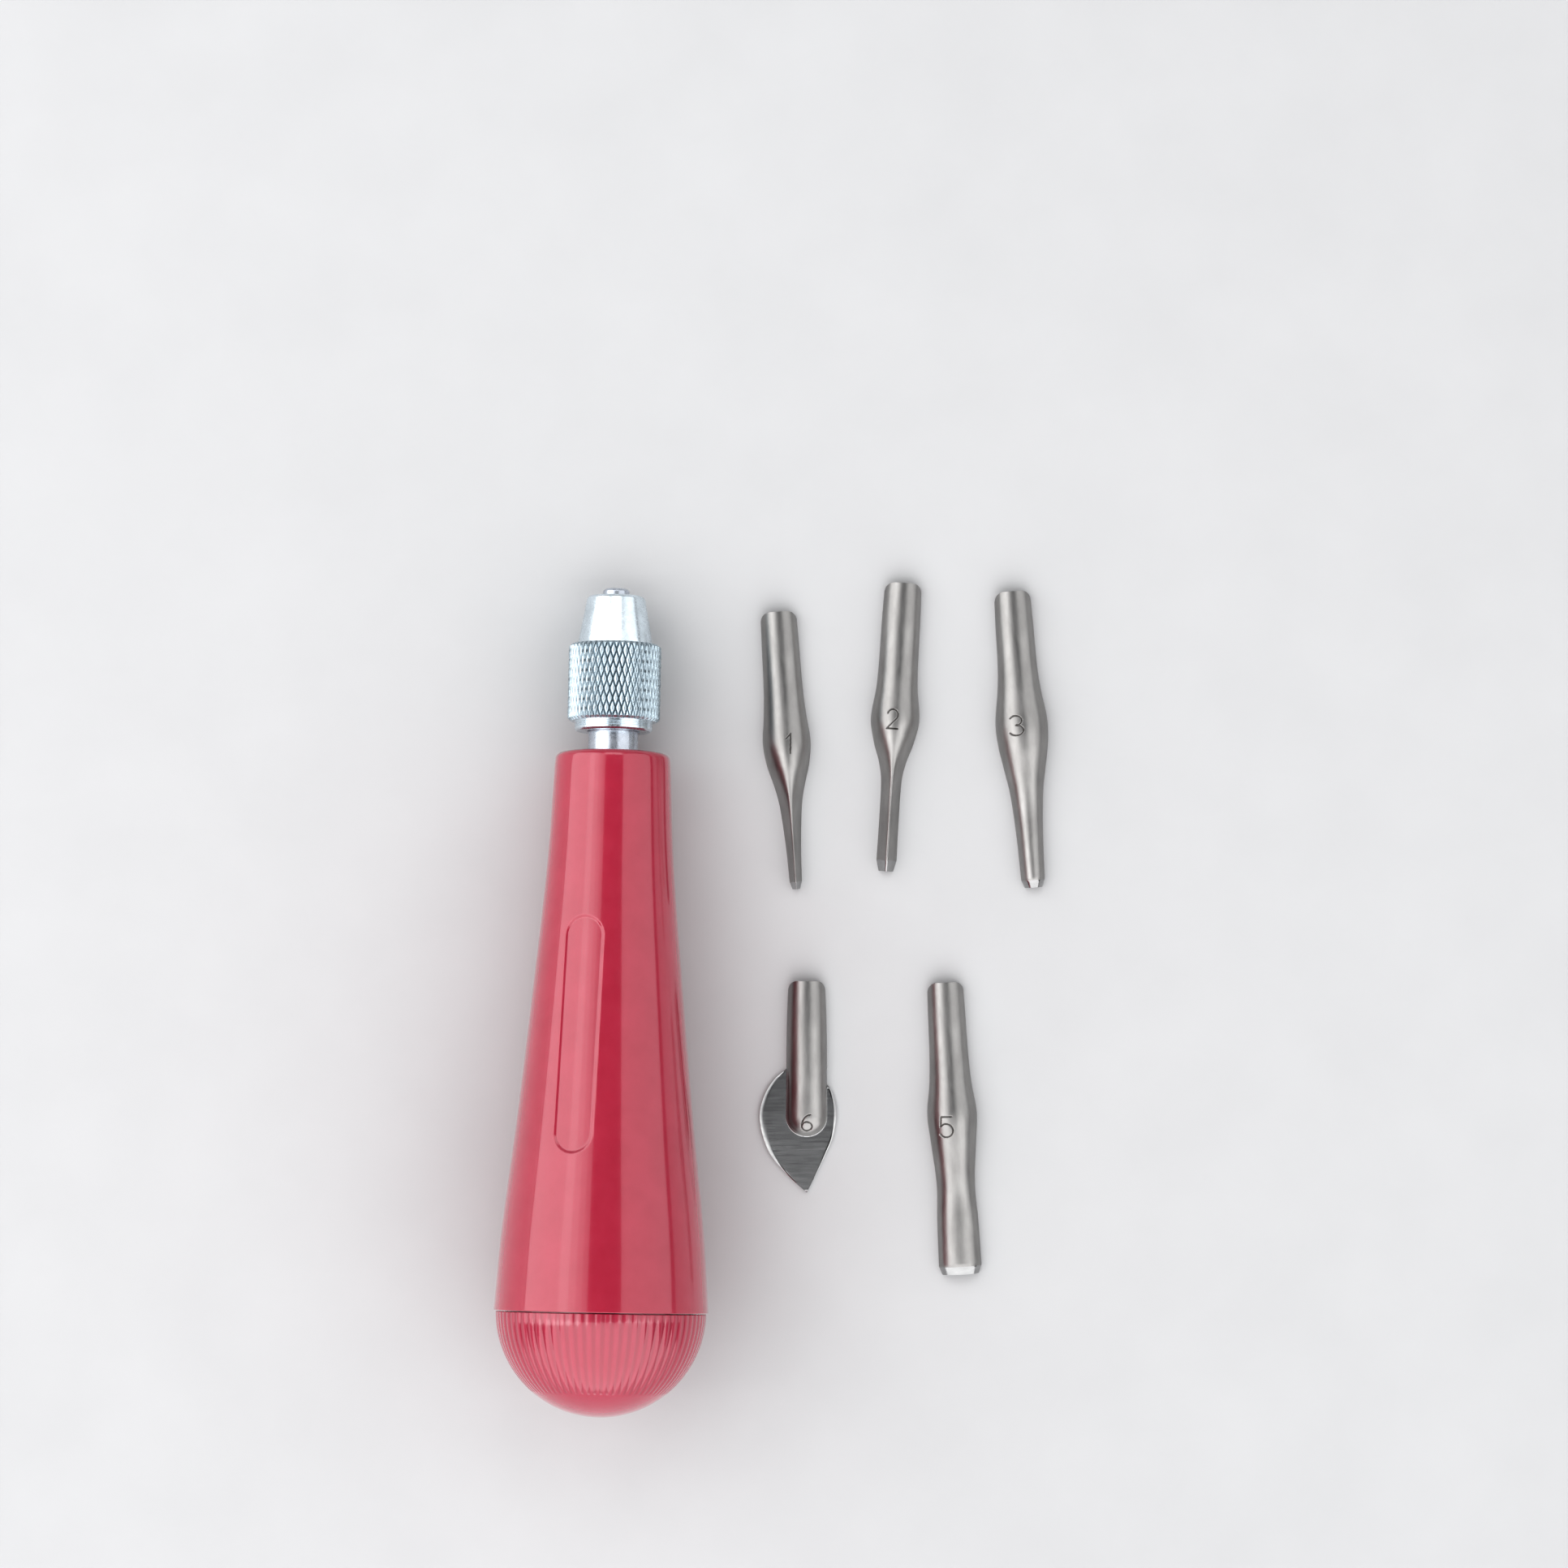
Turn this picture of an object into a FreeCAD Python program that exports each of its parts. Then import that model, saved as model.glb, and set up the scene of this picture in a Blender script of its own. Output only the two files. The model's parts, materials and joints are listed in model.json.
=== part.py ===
import FreeCAD, Part
import math
import os

from FreeCAD import Placement, Rotation, Vector

# Lino cutter: a hollow plastic handle with a screw chuck and a storage cap, and its five loose
# sheet-steel cutters, all lying on one flat surface. Millimetres, +X right, +Y towards the chuck's
# nose, +Z up. The origin is under the middle of the whole set's box, on the surface it lies on.
#
# Tool frame, before it is laid down: +Y runs from the handle's front face (y = 0) to the nose.
# Cutter frame: +Y runs from the tip to the shank's end (y = 0), so a station at length t is y = -t.

# ---- handle ----
HANDLE_LENGTH = 75.4
HANDLE_RADII = [  # (distance behind the front face, outer radius)
    (0.0, 7.80),
    (14.5, 8.55),
    (31.6, 10.10),
    (50.0, 11.95),
    (64.8, 13.65),
    (HANDLE_LENGTH, 14.45),
]
FRONT_EDGE_ROUND = 0.9
REAR_EDGE_CHAMFER = 0.2
CAVITY_FRONT = 28.0  # where the storage hollow starts, behind the front face
CAVITY_FRONT_RADIUS = 6.4
CAVITY_FRONT_DEPTH = 2.5  # how far its rounded front reaches past CAVITY_FRONT
CAVITY_REAR_RADIUS = 11.2
CAP_SOCKET_RADIUS = 12.0
CAP_SOCKET_DEPTH = 9.0

# The recessed panel on the handle's upper left side.
PANEL_FRONT = 22.5
PANEL_LENGTH = 32.0
PANEL_WIDTH = 5.6
PANEL_DEPTH = 0.25
PANEL_ROLL = 19.0  # degrees from straight up, towards -X

# ---- end cap ----
CAP_RADIUS = 14.17
SPIGOT_RADIUS = CAP_SOCKET_RADIUS - 0.05
SPIGOT_LENGTH = 8.0
SPIGOT_CHAMFER = 0.4
CAP_RIM_CHAMFER = 0.15
CAP_HOLLOW_RADIUS = 10.2
CAP_HOLLOW_DEPTH = 11.4

# ---- chuck, measured forward from the handle's front face ----
STUD_BURIED = 20.0
STUD_RADIUS = 3.4
STUD_CHAMFER = 0.6
STUD_ANCHOR = (-17.0, -11.0, 4.3)  # from, to, radius of the ring held in the plastic
NECK_END = 3.4
THREAD_PITCH = 1.27
THREAD_RADIUS = 3.15
THREAD_STEP = 0.2  # length of the step down from the neck
THREAD_CHAMFER = 0.5
STUD_END = 10.4
CUP_RADIUS = 2.2
BALL_RADIUS = 1.985
COLLAR_REAR = 2.97
BAND_RADIUS = 5.28
BAND_CHAMFER = 0.25
KNURL_REAR = 4.37
KNURL_FRONT = 14.84
KNURL_RADIUS = 6.3
KNURL_BEVEL = 0.45
NOSE_BASE_RADIUS = 5.1
NOSE_TIP_RADIUS = 3.95
NOSE_CHAMFER = 0.3
COLLAR_FRONT = 21.45
COUNTERBORE = (5.2, 3.55)  # depth position, radius
THREAD_BORE_RADIUS = THREAD_RADIUS + 0.04
THREAD_BORE_END = 10.9
CHAMBER_RADIUS = 3.6
CHAMBER_END = 16.1
MOUTH_RADIUS = 2.95
MOUTH_CHAMFER = 0.2
MOUTH_START = 16.9
JAW_REAR = 14.55
JAW_FLANGE_FRONT = 15.9
JAW_FLANGE_RADIUS = 3.5
JAW_FLANGE_CHAMFER = 0.3
JAW_ROOT_RADIUS = 2.2
JAW_TIP_RADIUS = 1.79
JAW_TIP_CHAMFER = 0.3
JAW_FRONT = 22.5

# ---- cutters ----
SHEET = 0.55
EDGE_SHEET = 0.08  # what the bevel leaves of the sheet at a cutting edge
END_CORNER = 1.25  # corner radius of the shank's end, seen from above
SECTION_POINTS = 11
VEE_SHARPNESS = 0.22  # rounding of a V section's ridge, as a share of its half width
STATION_STEP = 1.6

# Stations of a gouge: length from the shank's end, half width, height, and how far the section has
# turned from a half round (0) into a V (1).
GOUGES = {
    "cutter_1": {
        "at": (-0.8, 23.6),
        "lean": 3.74,
        "bevel": 1.0,
        "tip_sheet": 0.34,
        "stations": [
            (0.0, 2.45, 2.35, 0.0),
            (4.0, 2.55, 2.45, 0.0),
            (11.0, 2.70, 2.60, 0.0),
            (14.5, 2.95, 2.95, 0.0),
            (18.0, 3.28, 3.40, 0.1),
            (21.0, 2.90, 3.30, 0.3),
            (23.5, 2.20, 2.90, 0.5),
            (26.0, 1.62, 2.60, 0.8),
            (29.0, 1.28, 2.40, 1.0),
            (33.0, 1.00, 2.30, 1.0),
            (38.1, 0.80, 2.20, 1.0),
        ],
    },
    "cutter_2": {
        "at": (16.4, 27.55),
        "lean": -3.5,
        "bevel": 1.5,
        "tip_sheet": 0.42,
        "stations": [
            (0.0, 2.50, 2.40, 0.0),
            (4.0, 2.62, 2.50, 0.0),
            (11.4, 2.70, 2.60, 0.0),
            (14.5, 2.85, 2.90, 0.0),
            (18.8, 3.33, 3.45, 0.1),
            (22.0, 2.72, 3.20, 0.35),
            (24.5, 1.90, 2.75, 0.6),
            (27.0, 1.42, 2.45, 0.9),
            (33.0, 1.34, 2.30, 1.0),
            (39.6, 1.40, 2.25, 1.0),
        ],
    },
    "cutter_3": {
        "at": (31.3, 26.4),
        "lean": 4.2,
        "bevel": 1.0,
        "tip_sheet": 0.45,
        "stations": [
            (0.0, 2.45, 2.35, 0.0),
            (4.0, 2.58, 2.45, 0.0),
            (10.3, 2.70, 2.60, 0.0),
            (13.5, 2.97, 2.90, 0.0),
            (18.0, 3.58, 3.55, 0.0),
            (21.2, 3.40, 3.45, 0.0),
            (24.3, 2.86, 3.05, 0.0),
            (27.5, 2.30, 2.65, 0.0),
            (33.0, 1.86, 2.30, 0.0),
            (40.7, 1.58, 2.10, 0.0),
        ],
    },
    "cutter_5": {
        "at": (22.1, -27.2),
        "lean": 3.1,
        "bevel": 1.1,
        "tip_sheet": 0.5,
        "stations": [
            (0.0, 2.45, 2.35, 0.0),
            (4.0, 2.55, 2.45, 0.0),
            (10.0, 2.66, 2.60, 0.0),
            (14.0, 2.90, 2.95, 0.0),
            (18.0, 3.40, 3.50, 0.0),
            (22.0, 3.10, 3.25, 0.0),
            (26.2, 2.70, 2.75, 0.0),
            (29.0, 2.62, 2.50, 0.0),
            (32.5, 2.80, 2.40, 0.0),
            (40.1, 2.95, 2.35, 0.0),
        ],
    },
}

KNIFE_AT = (3.1, -27.0)
KNIFE_LENGTH = 29.1
KNIFE_SHANK_END = 21.4  # the front of the shank's rounded end
KNIFE_SHANK = [(0.0, 2.50, 2.40), (6.0, 2.72, 2.60), (13.0, 2.80, 2.60), (18.6, 2.86, 2.50)]
KNIFE_SLICES = 10
KNIFE_LEFT = [(2.6, 12.0), (4.4, 13.5), (5.9, 16.0), (6.45, 19.0), (5.25, 23.4), (2.9, 26.4)]
KNIFE_RIGHT = [(2.6, 13.9), (3.5, 15.4), (4.05, 18.0), (3.6, 21.4), (2.6, 23.8), (1.3, 26.5)]

# ---- layout on the surface, in the set's own plan ----
HANDLE_AT = (-23.24, 4.12)  # the middle of the handle's front face
HANDLE_LEAN = 1.05  # degrees, nose towards +X
SLICE = 0.25  # step used to find where the handle touches the surface
SLICES_FROM = 5.0  # the search starts this far behind the handle's front face


def revolve(points):
    """Solid of revolution about Y from a closed outline of (radius, y) corners."""
    corners = [Vector(r, y, 0) for r, y in points]
    face = Part.Face(Part.makePolygon(corners + corners[:1]))
    return face.revolve(Vector(0, 0, 0), Vector(0, 1, 0), 360)


def handle_curve(inset):
    """The handle's outer line moved in by inset, as a smooth curve from front face to seam."""
    curve = Part.BSplineCurve()
    curve.interpolate([Vector(r - inset, -d, 0) for d, r in HANDLE_RADII])
    return curve


def handle_solid(inset):
    """Solid of revolution inside the handle's outer line moved in by inset."""
    curve = handle_curve(inset)
    start, end = curve.StartPoint, curve.EndPoint
    outline = Part.Wire(
        [
            curve.toShape(),
            Part.makeLine(end, Vector(0, end.y, 0)),
            Part.makeLine(Vector(0, end.y, 0), Vector(0, start.y, 0)),
            Part.makeLine(Vector(0, start.y, 0), start),
        ]
    )
    return Part.Face(outline).revolve(Vector(0, 0, 0), Vector(0, 1, 0), 360)


def handle_radius(distance):
    """Outer radius of the handle at a distance behind its front face."""
    level = Part.Line(Vector(0, -distance, 0), Vector(1, -distance, 0))
    return handle_curve(0.0).intersect(level)[0].X


def cavity_outline():
    """Storage hollow and cap socket, as one outline."""
    rear = -HANDLE_LENGTH
    return [
        (0, -CAVITY_FRONT + CAVITY_FRONT_DEPTH),
        (0.7 * CAVITY_FRONT_RADIUS, -CAVITY_FRONT + 0.6 * CAVITY_FRONT_DEPTH),
        (CAVITY_FRONT_RADIUS, -CAVITY_FRONT - 0.4 * CAVITY_FRONT_DEPTH),
        (CAVITY_REAR_RADIUS, rear + CAP_SOCKET_DEPTH),
        (CAP_SOCKET_RADIUS, rear + CAP_SOCKET_DEPTH),
        (CAP_SOCKET_RADIUS, rear),
        (0, rear),
    ]


def panel_cut(outer):
    """Thin recess with round ends, following the handle's surface."""
    half = PANEL_WIDTH / 2
    front = -PANEL_FRONT - half
    rear = -PANEL_FRONT - PANEL_LENGTH + half
    top = 2 * HANDLE_RADII[-1][1]
    slot = Part.makeBox(PANEL_WIDTH, front - rear, top, Vector(-half, rear, 0))
    for end in (front, rear):
        slot = slot.fuse(Part.makeCylinder(half, top, Vector(0, end, 0)))
    slot.rotate(Vector(0, 0, 0), Vector(0, 1, 0), -PANEL_ROLL)
    return outer.common(slot).cut(handle_solid(PANEL_DEPTH))


def rims(shape, y):
    """Whole circular edges of a shape that lie in the plane at y."""
    flat = 1e-3
    return [
        e
        for e in shape.Edges
        if e.isClosed() and e.BoundBox.YLength < flat and abs(e.BoundBox.YMin - y) < flat
    ]


def handle_body():
    """Handle with rounded front edge, panel, storage hollow, cap socket and the stud's hole."""
    outer = handle_solid(0.0)
    body = outer.makeFillet(FRONT_EDGE_ROUND, rims(outer, 0.0))
    body = body.makeChamfer(REAR_EDGE_CHAMFER, rims(body, -HANDLE_LENGTH))
    body = body.cut(panel_cut(outer))
    body = body.cut(revolve(cavity_outline()))
    return body.cut(chuck_stud())


def end_cap():
    """Domed cap: a half ball over the seam, a plain spigot for its thread, and a hollow."""
    seam = -HANDLE_LENGTH
    chamfer = CAP_RIM_CHAMFER
    rim = math.sqrt(CAP_RADIUS**2 - chamfer**2)
    dome = Part.Arc(
        Vector(rim, seam - chamfer, 0),
        Vector(CAP_RADIUS * math.sin(math.pi / 4), seam - CAP_RADIUS * math.cos(math.pi / 4), 0),
        Vector(0, seam - CAP_RADIUS, 0),
    )
    hollow_end = Vector(0, seam - CAP_HOLLOW_DEPTH, 0)
    hollow_side = Vector(CAP_HOLLOW_RADIUS, seam, 0)
    turn = math.pi / 4
    hollow = Part.Arc(
        hollow_end,
        Vector(CAP_HOLLOW_RADIUS * math.sin(turn), seam - CAP_HOLLOW_DEPTH * math.cos(turn), 0),
        hollow_side,
    )
    top = seam + SPIGOT_LENGTH
    corners = [
        hollow_side,
        Vector(CAP_HOLLOW_RADIUS, top, 0),
        Vector(SPIGOT_RADIUS - SPIGOT_CHAMFER, top, 0),
        Vector(SPIGOT_RADIUS, top - SPIGOT_CHAMFER, 0),
        Vector(SPIGOT_RADIUS, seam, 0),
        Vector(rim - chamfer, seam, 0),
        Vector(rim, seam - chamfer, 0),
    ]
    edges = [Part.makeLine(a, b) for a, b in zip(corners, corners[1:])]
    edges += [dome.toShape(), Part.makeLine(Vector(0, seam - CAP_RADIUS, 0), hollow_end)]
    edges += [hollow.toShape()]
    return Part.Face(Part.Wire(edges)).revolve(Vector(0, 0, 0), Vector(0, 1, 0), 360)


def chuck_stud():
    """Steel stud: buried shank with an anchoring ring, neck, plain thread and ball cup."""
    ring_rear, ring_front, ring = STUD_ANCHOR
    return revolve(
        [
            (0, -STUD_BURIED),
            (STUD_RADIUS - STUD_CHAMFER, -STUD_BURIED),
            (STUD_RADIUS, -STUD_BURIED + STUD_CHAMFER),
            (STUD_RADIUS, ring_rear),
            (ring, ring_rear),
            (ring, ring_front),
            (STUD_RADIUS, ring_front),
            (STUD_RADIUS, NECK_END),
            (THREAD_RADIUS, NECK_END + THREAD_STEP),
            (THREAD_RADIUS, STUD_END - THREAD_CHAMFER),
            (THREAD_RADIUS - THREAD_CHAMFER, STUD_END),
            (CUP_RADIUS, STUD_END),
            (0, STUD_END - CUP_RADIUS),
        ]
    )


def chuck_ball():
    """Thrust ball lying in the stud's right-angled cup."""
    centre = STUD_END - CUP_RADIUS + BALL_RADIUS * math.sqrt(2)
    return Part.makeSphere(BALL_RADIUS, Vector(0, centre, 0))


def chuck_jaw():
    """Inner wedge: a flange that bears on the ball, and a tapered pin that fills the nose."""
    return revolve(
        [
            (0, JAW_REAR),
            (JAW_FLANGE_RADIUS - JAW_FLANGE_CHAMFER, JAW_REAR),
            (JAW_FLANGE_RADIUS, JAW_REAR + JAW_FLANGE_CHAMFER),
            (JAW_FLANGE_RADIUS, JAW_FLANGE_FRONT - JAW_FLANGE_CHAMFER),
            (JAW_FLANGE_RADIUS - JAW_FLANGE_CHAMFER, JAW_FLANGE_FRONT),
            (JAW_ROOT_RADIUS, JAW_FLANGE_FRONT),
            (JAW_TIP_RADIUS, COLLAR_FRONT),
            (JAW_TIP_RADIUS, JAW_FRONT - JAW_TIP_CHAMFER),
            (JAW_TIP_RADIUS - JAW_TIP_CHAMFER, JAW_FRONT),
            (0, JAW_FRONT),
        ]
    )


def chuck_collar():
    """Screw collar: plain band, gripping zone, nose cone, and the stepped bore inside."""
    counterbore_end, counterbore = COUNTERBORE
    return revolve(
        [
            (counterbore, COLLAR_REAR),
            (BAND_RADIUS - BAND_CHAMFER, COLLAR_REAR),
            (BAND_RADIUS, COLLAR_REAR + BAND_CHAMFER),
            (BAND_RADIUS, KNURL_REAR),
            (KNURL_RADIUS - KNURL_BEVEL, KNURL_REAR),
            (KNURL_RADIUS, KNURL_REAR + KNURL_BEVEL),
            (KNURL_RADIUS, KNURL_FRONT - KNURL_BEVEL),
            (KNURL_RADIUS - KNURL_BEVEL, KNURL_FRONT),
            (NOSE_BASE_RADIUS, KNURL_FRONT),
            (NOSE_TIP_RADIUS, COLLAR_FRONT - NOSE_CHAMFER),
            (NOSE_TIP_RADIUS - NOSE_CHAMFER, COLLAR_FRONT),
            (MOUTH_RADIUS + MOUTH_CHAMFER, COLLAR_FRONT),
            (MOUTH_RADIUS, COLLAR_FRONT - MOUTH_CHAMFER),
            (MOUTH_RADIUS, MOUTH_START),
            (CHAMBER_RADIUS, CHAMBER_END),
            (CHAMBER_RADIUS, THREAD_BORE_END),
            (THREAD_BORE_RADIUS, THREAD_BORE_END),
            (THREAD_BORE_RADIUS, counterbore_end),
            (counterbore, counterbore_end),
        ]
    )


def between(stations, t):
    """Values at length t, eased from station to station with matching slopes."""
    spots = [s[0] for s in stations]
    i = max(k for k in range(len(spots) - 1) if spots[k] <= t or k == 0)
    values = []
    for column in range(1, len(stations[0])):
        rows = [s[column] for s in stations]

        def slope(k):
            a, b = max(k - 1, 0), min(k + 1, len(rows) - 1)
            return (rows[b] - rows[a]) / (spots[b] - spots[a])

        span = spots[i + 1] - spots[i]
        u = (t - spots[i]) / span
        values.append(
            (2 * u**3 - 3 * u**2 + 1) * rows[i]
            + (u**3 - 2 * u**2 + u) * span * slope(i)
            + (3 * u**2 - 2 * u**3) * rows[i + 1]
            + (u**3 - u**2) * span * slope(i + 1)
        )
    return values


def arch(half_width, height, vee):
    """Points of a cutter's section line, from +X over the top to -X."""
    foot = math.hypot(1, VEE_SHARPNESS) - VEE_SHARPNESS
    points = []
    for k in range(SECTION_POINTS):
        u = k / (SECTION_POINTS - 1)
        across = 1 - 2 * u
        peak = (math.hypot(across, VEE_SHARPNESS) - VEE_SHARPNESS) / foot
        x = (1 - vee) * math.cos(math.pi * u) + vee * across
        z = (1 - vee) * math.sin(math.pi * u) + vee * (1 - peak)
        points.append((half_width * x, height * z))
    return points


def section(t, half_width, height, vee, sheet):
    """Closed wire of the sheet's section at length t."""
    slant = math.hypot(half_width, height)
    inner_width = half_width - sheet * ((1 - vee) + vee * slant / height)
    inner_height = height - sheet * ((1 - vee) + vee * slant / half_width)
    lines = []
    for w, h in ((half_width, height), (inner_width, inner_height)):
        curve = Part.BSplineCurve()
        curve.interpolate([Vector(x, -t, z) for x, z in arch(w, h, vee)])
        lines.append(curve.toShape())
    outer, inner = lines
    right = Part.makeLine(Vector(half_width, -t, 0), Vector(inner_width, -t, 0))
    left = Part.makeLine(Vector(-inner_width, -t, 0), Vector(-half_width, -t, 0))
    return Part.Wire([outer, left, inner, right])


def rounded_end(shape, half_width, length):
    """Trim the shank's end corners, seen from above."""
    wide = 20.0  # more than any cutter's width and height
    under = -1.0
    middle = half_width - END_CORNER
    plan = Part.makeBox(2 * wide, length, wide, Vector(-wide, -length - END_CORNER, under))
    end = Part.makeBox(2 * middle, 2 * END_CORNER, wide, Vector(-middle, -2 * END_CORNER, under))
    plan = plan.fuse(end)
    for side in (-middle, middle):
        plan = plan.fuse(Part.makeCylinder(END_CORNER, wide, Vector(side, -END_CORNER, under)))
    return shape.common(plan)


def gouge(stations, bevel, tip_sheet):
    """A formed gouge: half-round shank, swelling neck, and a bevelled cutting end."""
    length = stations[-1][0]
    body_end = length - bevel
    steps = max(2, round(body_end / STATION_STEP))
    wires = []
    for k in range(steps + 1):
        t = body_end * k / steps
        thinning = max(0.0, (t - 0.5 * length) / (0.5 * length))
        sheet = SHEET + (tip_sheet - SHEET) * thinning
        wires.append(section(t, *between(stations, t), sheet))
    body = Part.makeLoft(wires, True, False)
    half_width, height, vee = stations[-1][1:]
    slant = math.hypot(half_width, height)
    ground = tip_sheet - EDGE_SHEET
    side_drop = ground * ((1 - vee) + vee * slant / height)
    top_drop = ground * ((1 - vee) + vee * slant / half_width)
    tip_wire = section(length, half_width - side_drop, height - top_drop, vee, EDGE_SHEET)
    tip = Part.makeLoft([wires[-1], tip_wire], True, True)
    return rounded_end(body.fuse(tip), stations[0][1], length)


def knife_shank(drop):
    """Half-round shank with a domed front end, its surface lowered by a distance."""
    reach = KNIFE_SHANK_END - KNIFE_SHANK[-1][1]
    stations = KNIFE_SHANK[:-1] + [(reach, *KNIFE_SHANK[-1][1:])]
    wires = []
    for k in range(KNIFE_SLICES + 1):
        t = reach * k / KNIFE_SLICES
        w, h = between(stations, t)
        curve = Part.BSplineCurve()
        curve.interpolate([Vector(x, -t, z) for x, z in arch(w - drop, h - drop, 0.0)])
        wires.append(Part.Wire([curve.toShape(), Part.makeLine(curve.EndPoint, curve.StartPoint)]))
    shank = Part.makeLoft(wires, True, False)
    first, last = curve.FirstParameter, curve.LastParameter
    curve.segment(first, (first + last) / 2)
    foot = Vector(0, -reach, 0)
    quarter = [
        curve.toShape(),
        Part.makeLine(curve.EndPoint, foot),
        Part.makeLine(foot, curve.StartPoint),
    ]
    dome = Part.Face(Part.Wire(quarter)).revolve(foot, Vector(0, 0, 1), -180)
    return shank.fuse(dome)


def knife():
    """Leaf blade lying flat, with the half-round shank raised out of the same sheet."""
    tip = Vector(0, -KNIFE_LENGTH, 0)
    left = [Vector(-x, -t, 0) for x, t in KNIFE_LEFT]
    right = [Vector(x, -t, 0) for x, t in KNIFE_RIGHT]
    sides = []
    for run in (left + [tip], [tip] + right[::-1]):
        curve = Part.BSplineCurve()
        curve.interpolate(run)
        sides.append(curve.toShape())
    closing = Part.makeLine(right[0], left[0])
    plate = Part.Face(Part.Wire([*sides, closing])).extrude(Vector(0, 0, SHEET))
    blade = plate.fuse(knife_shank(0.0)).cut(knife_shank(SHEET))
    return rounded_end(blade, KNIFE_SHANK[0][1], KNIFE_LENGTH)


def laid_tool():
    """Placement that lays the tool on the surface, resting on its flare and its front edge."""
    edge_radius, edge_behind = HANDLE_RADII[0][1], FRONT_EDGE_ROUND / 2

    def slope(distance):
        return (handle_radius(distance) - edge_radius) / (distance - edge_behind)

    count = math.ceil((HANDLE_LENGTH - SLICES_FROM) / SLICE)
    contact = max((SLICES_FROM + k * SLICE for k in range(count)), key=slope)
    tilt = math.atan(slope(contact))
    rise = handle_radius(contact) * math.cos(tilt) - contact * math.sin(tilt)
    drop = Placement(Vector(0, 0, 0), Rotation(Vector(1, 0, 0), -math.degrees(tilt)))
    turn = Placement(Vector(*HANDLE_AT, rise), Rotation(Vector(0, 0, 1), -HANDLE_LEAN))
    print("tilt", round(math.degrees(tilt), 3), "contact", contact, "axis height", round(rise, 4))
    return turn.multiply(drop)


def placed(shape, placement):
    moved = shape.copy()
    moved.transformShape(placement.toMatrix())
    return moved


def main():
    os.makedirs("parts", exist_ok=True)
    tool = laid_tool()
    parts = {
        "handle_body": handle_body(),
        "end_cap": end_cap(),
        "chuck_stud": chuck_stud(),
        "chuck_ball": chuck_ball(),
        "chuck_jaw": chuck_jaw(),
        "chuck_collar": chuck_collar(),
    }
    parts = {name: placed(shape, tool) for name, shape in parts.items()}
    for name, g in GOUGES.items():
        spot = Placement(Vector(*g["at"], 0), Rotation(Vector(0, 0, 1), g["lean"]))
        parts[name] = placed(gouge(g["stations"], g["bevel"], g["tip_sheet"]), spot)
    parts["cutter_6"] = placed(knife(), Placement(Vector(*KNIFE_AT, 0), Rotation()))

    box = FreeCAD.BoundBox()
    for shape in parts.values():
        box.add(shape.optimalBoundingBox(False))
    shift = Vector(-box.Center.x, -box.Center.y, -box.ZMin)
    for name, shape in parts.items():
        shape.translate(shift)
        shape.exportStep(f"parts/{name}.step")
        solids = len(shape.Solids)
        print(f"{name:14s} solids {solids} valid {shape.isValid()} volume {shape.Volume:9.2f}")
    print("size", round(box.XLength, 3), round(box.YLength, 3), round(box.ZLength, 3))
    print("shift", shift)
    axis = tool.Rotation.multVec(Vector(0, 1, 0))
    print("tool axis", axis, "front face centre", tool.Base.add(shift))
    print("thread pitch", THREAD_PITCH)
    flat = Vector(KNIFE_AT[0], KNIFE_AT[1] - (KNIFE_SHANK_END + KNIFE_LENGTH) / 2, 0)
    print("knife face point", flat.add(Vector(shift.x, shift.y, 0)))


main()
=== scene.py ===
import json
import math

import bmesh
import bpy
from mathutils import Matrix, Vector

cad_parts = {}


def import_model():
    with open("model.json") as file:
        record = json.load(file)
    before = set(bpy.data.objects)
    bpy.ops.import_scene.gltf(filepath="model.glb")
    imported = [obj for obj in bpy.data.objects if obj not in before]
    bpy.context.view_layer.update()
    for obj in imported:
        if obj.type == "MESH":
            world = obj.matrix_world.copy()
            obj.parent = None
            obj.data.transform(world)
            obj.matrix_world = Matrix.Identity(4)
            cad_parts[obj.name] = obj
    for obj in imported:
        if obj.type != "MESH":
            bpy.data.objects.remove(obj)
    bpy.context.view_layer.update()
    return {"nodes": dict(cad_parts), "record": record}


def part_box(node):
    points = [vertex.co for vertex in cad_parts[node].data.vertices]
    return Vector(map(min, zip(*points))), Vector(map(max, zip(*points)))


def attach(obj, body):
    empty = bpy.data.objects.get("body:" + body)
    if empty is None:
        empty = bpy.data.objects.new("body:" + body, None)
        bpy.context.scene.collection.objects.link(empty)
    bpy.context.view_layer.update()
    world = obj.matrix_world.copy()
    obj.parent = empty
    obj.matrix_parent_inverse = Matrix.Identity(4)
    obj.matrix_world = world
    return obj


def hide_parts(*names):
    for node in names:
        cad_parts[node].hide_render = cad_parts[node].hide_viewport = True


# Looks of a lino cutter: a plastic handle with a steel screw chuck and a ribbed cap, and five loose
# sheet-steel cutters. Shapes are written in millimetres and scaled to metres as meshes are made.
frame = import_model()
MM = 0.001
NEAR = 0.01  # places closer than this count as one

# ---- view, in metres ----
CAMERA_HEIGHT = 0.70
CAMERA_ASIDE = (0.00138, 0.02875)  # from the middle of the set, across and along
VIEW_WIDTH = 0.2154  # of the surface, at z = 0
SENSOR = 36.0  # millimetres
VIEW_GAMMA = 0.78

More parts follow.
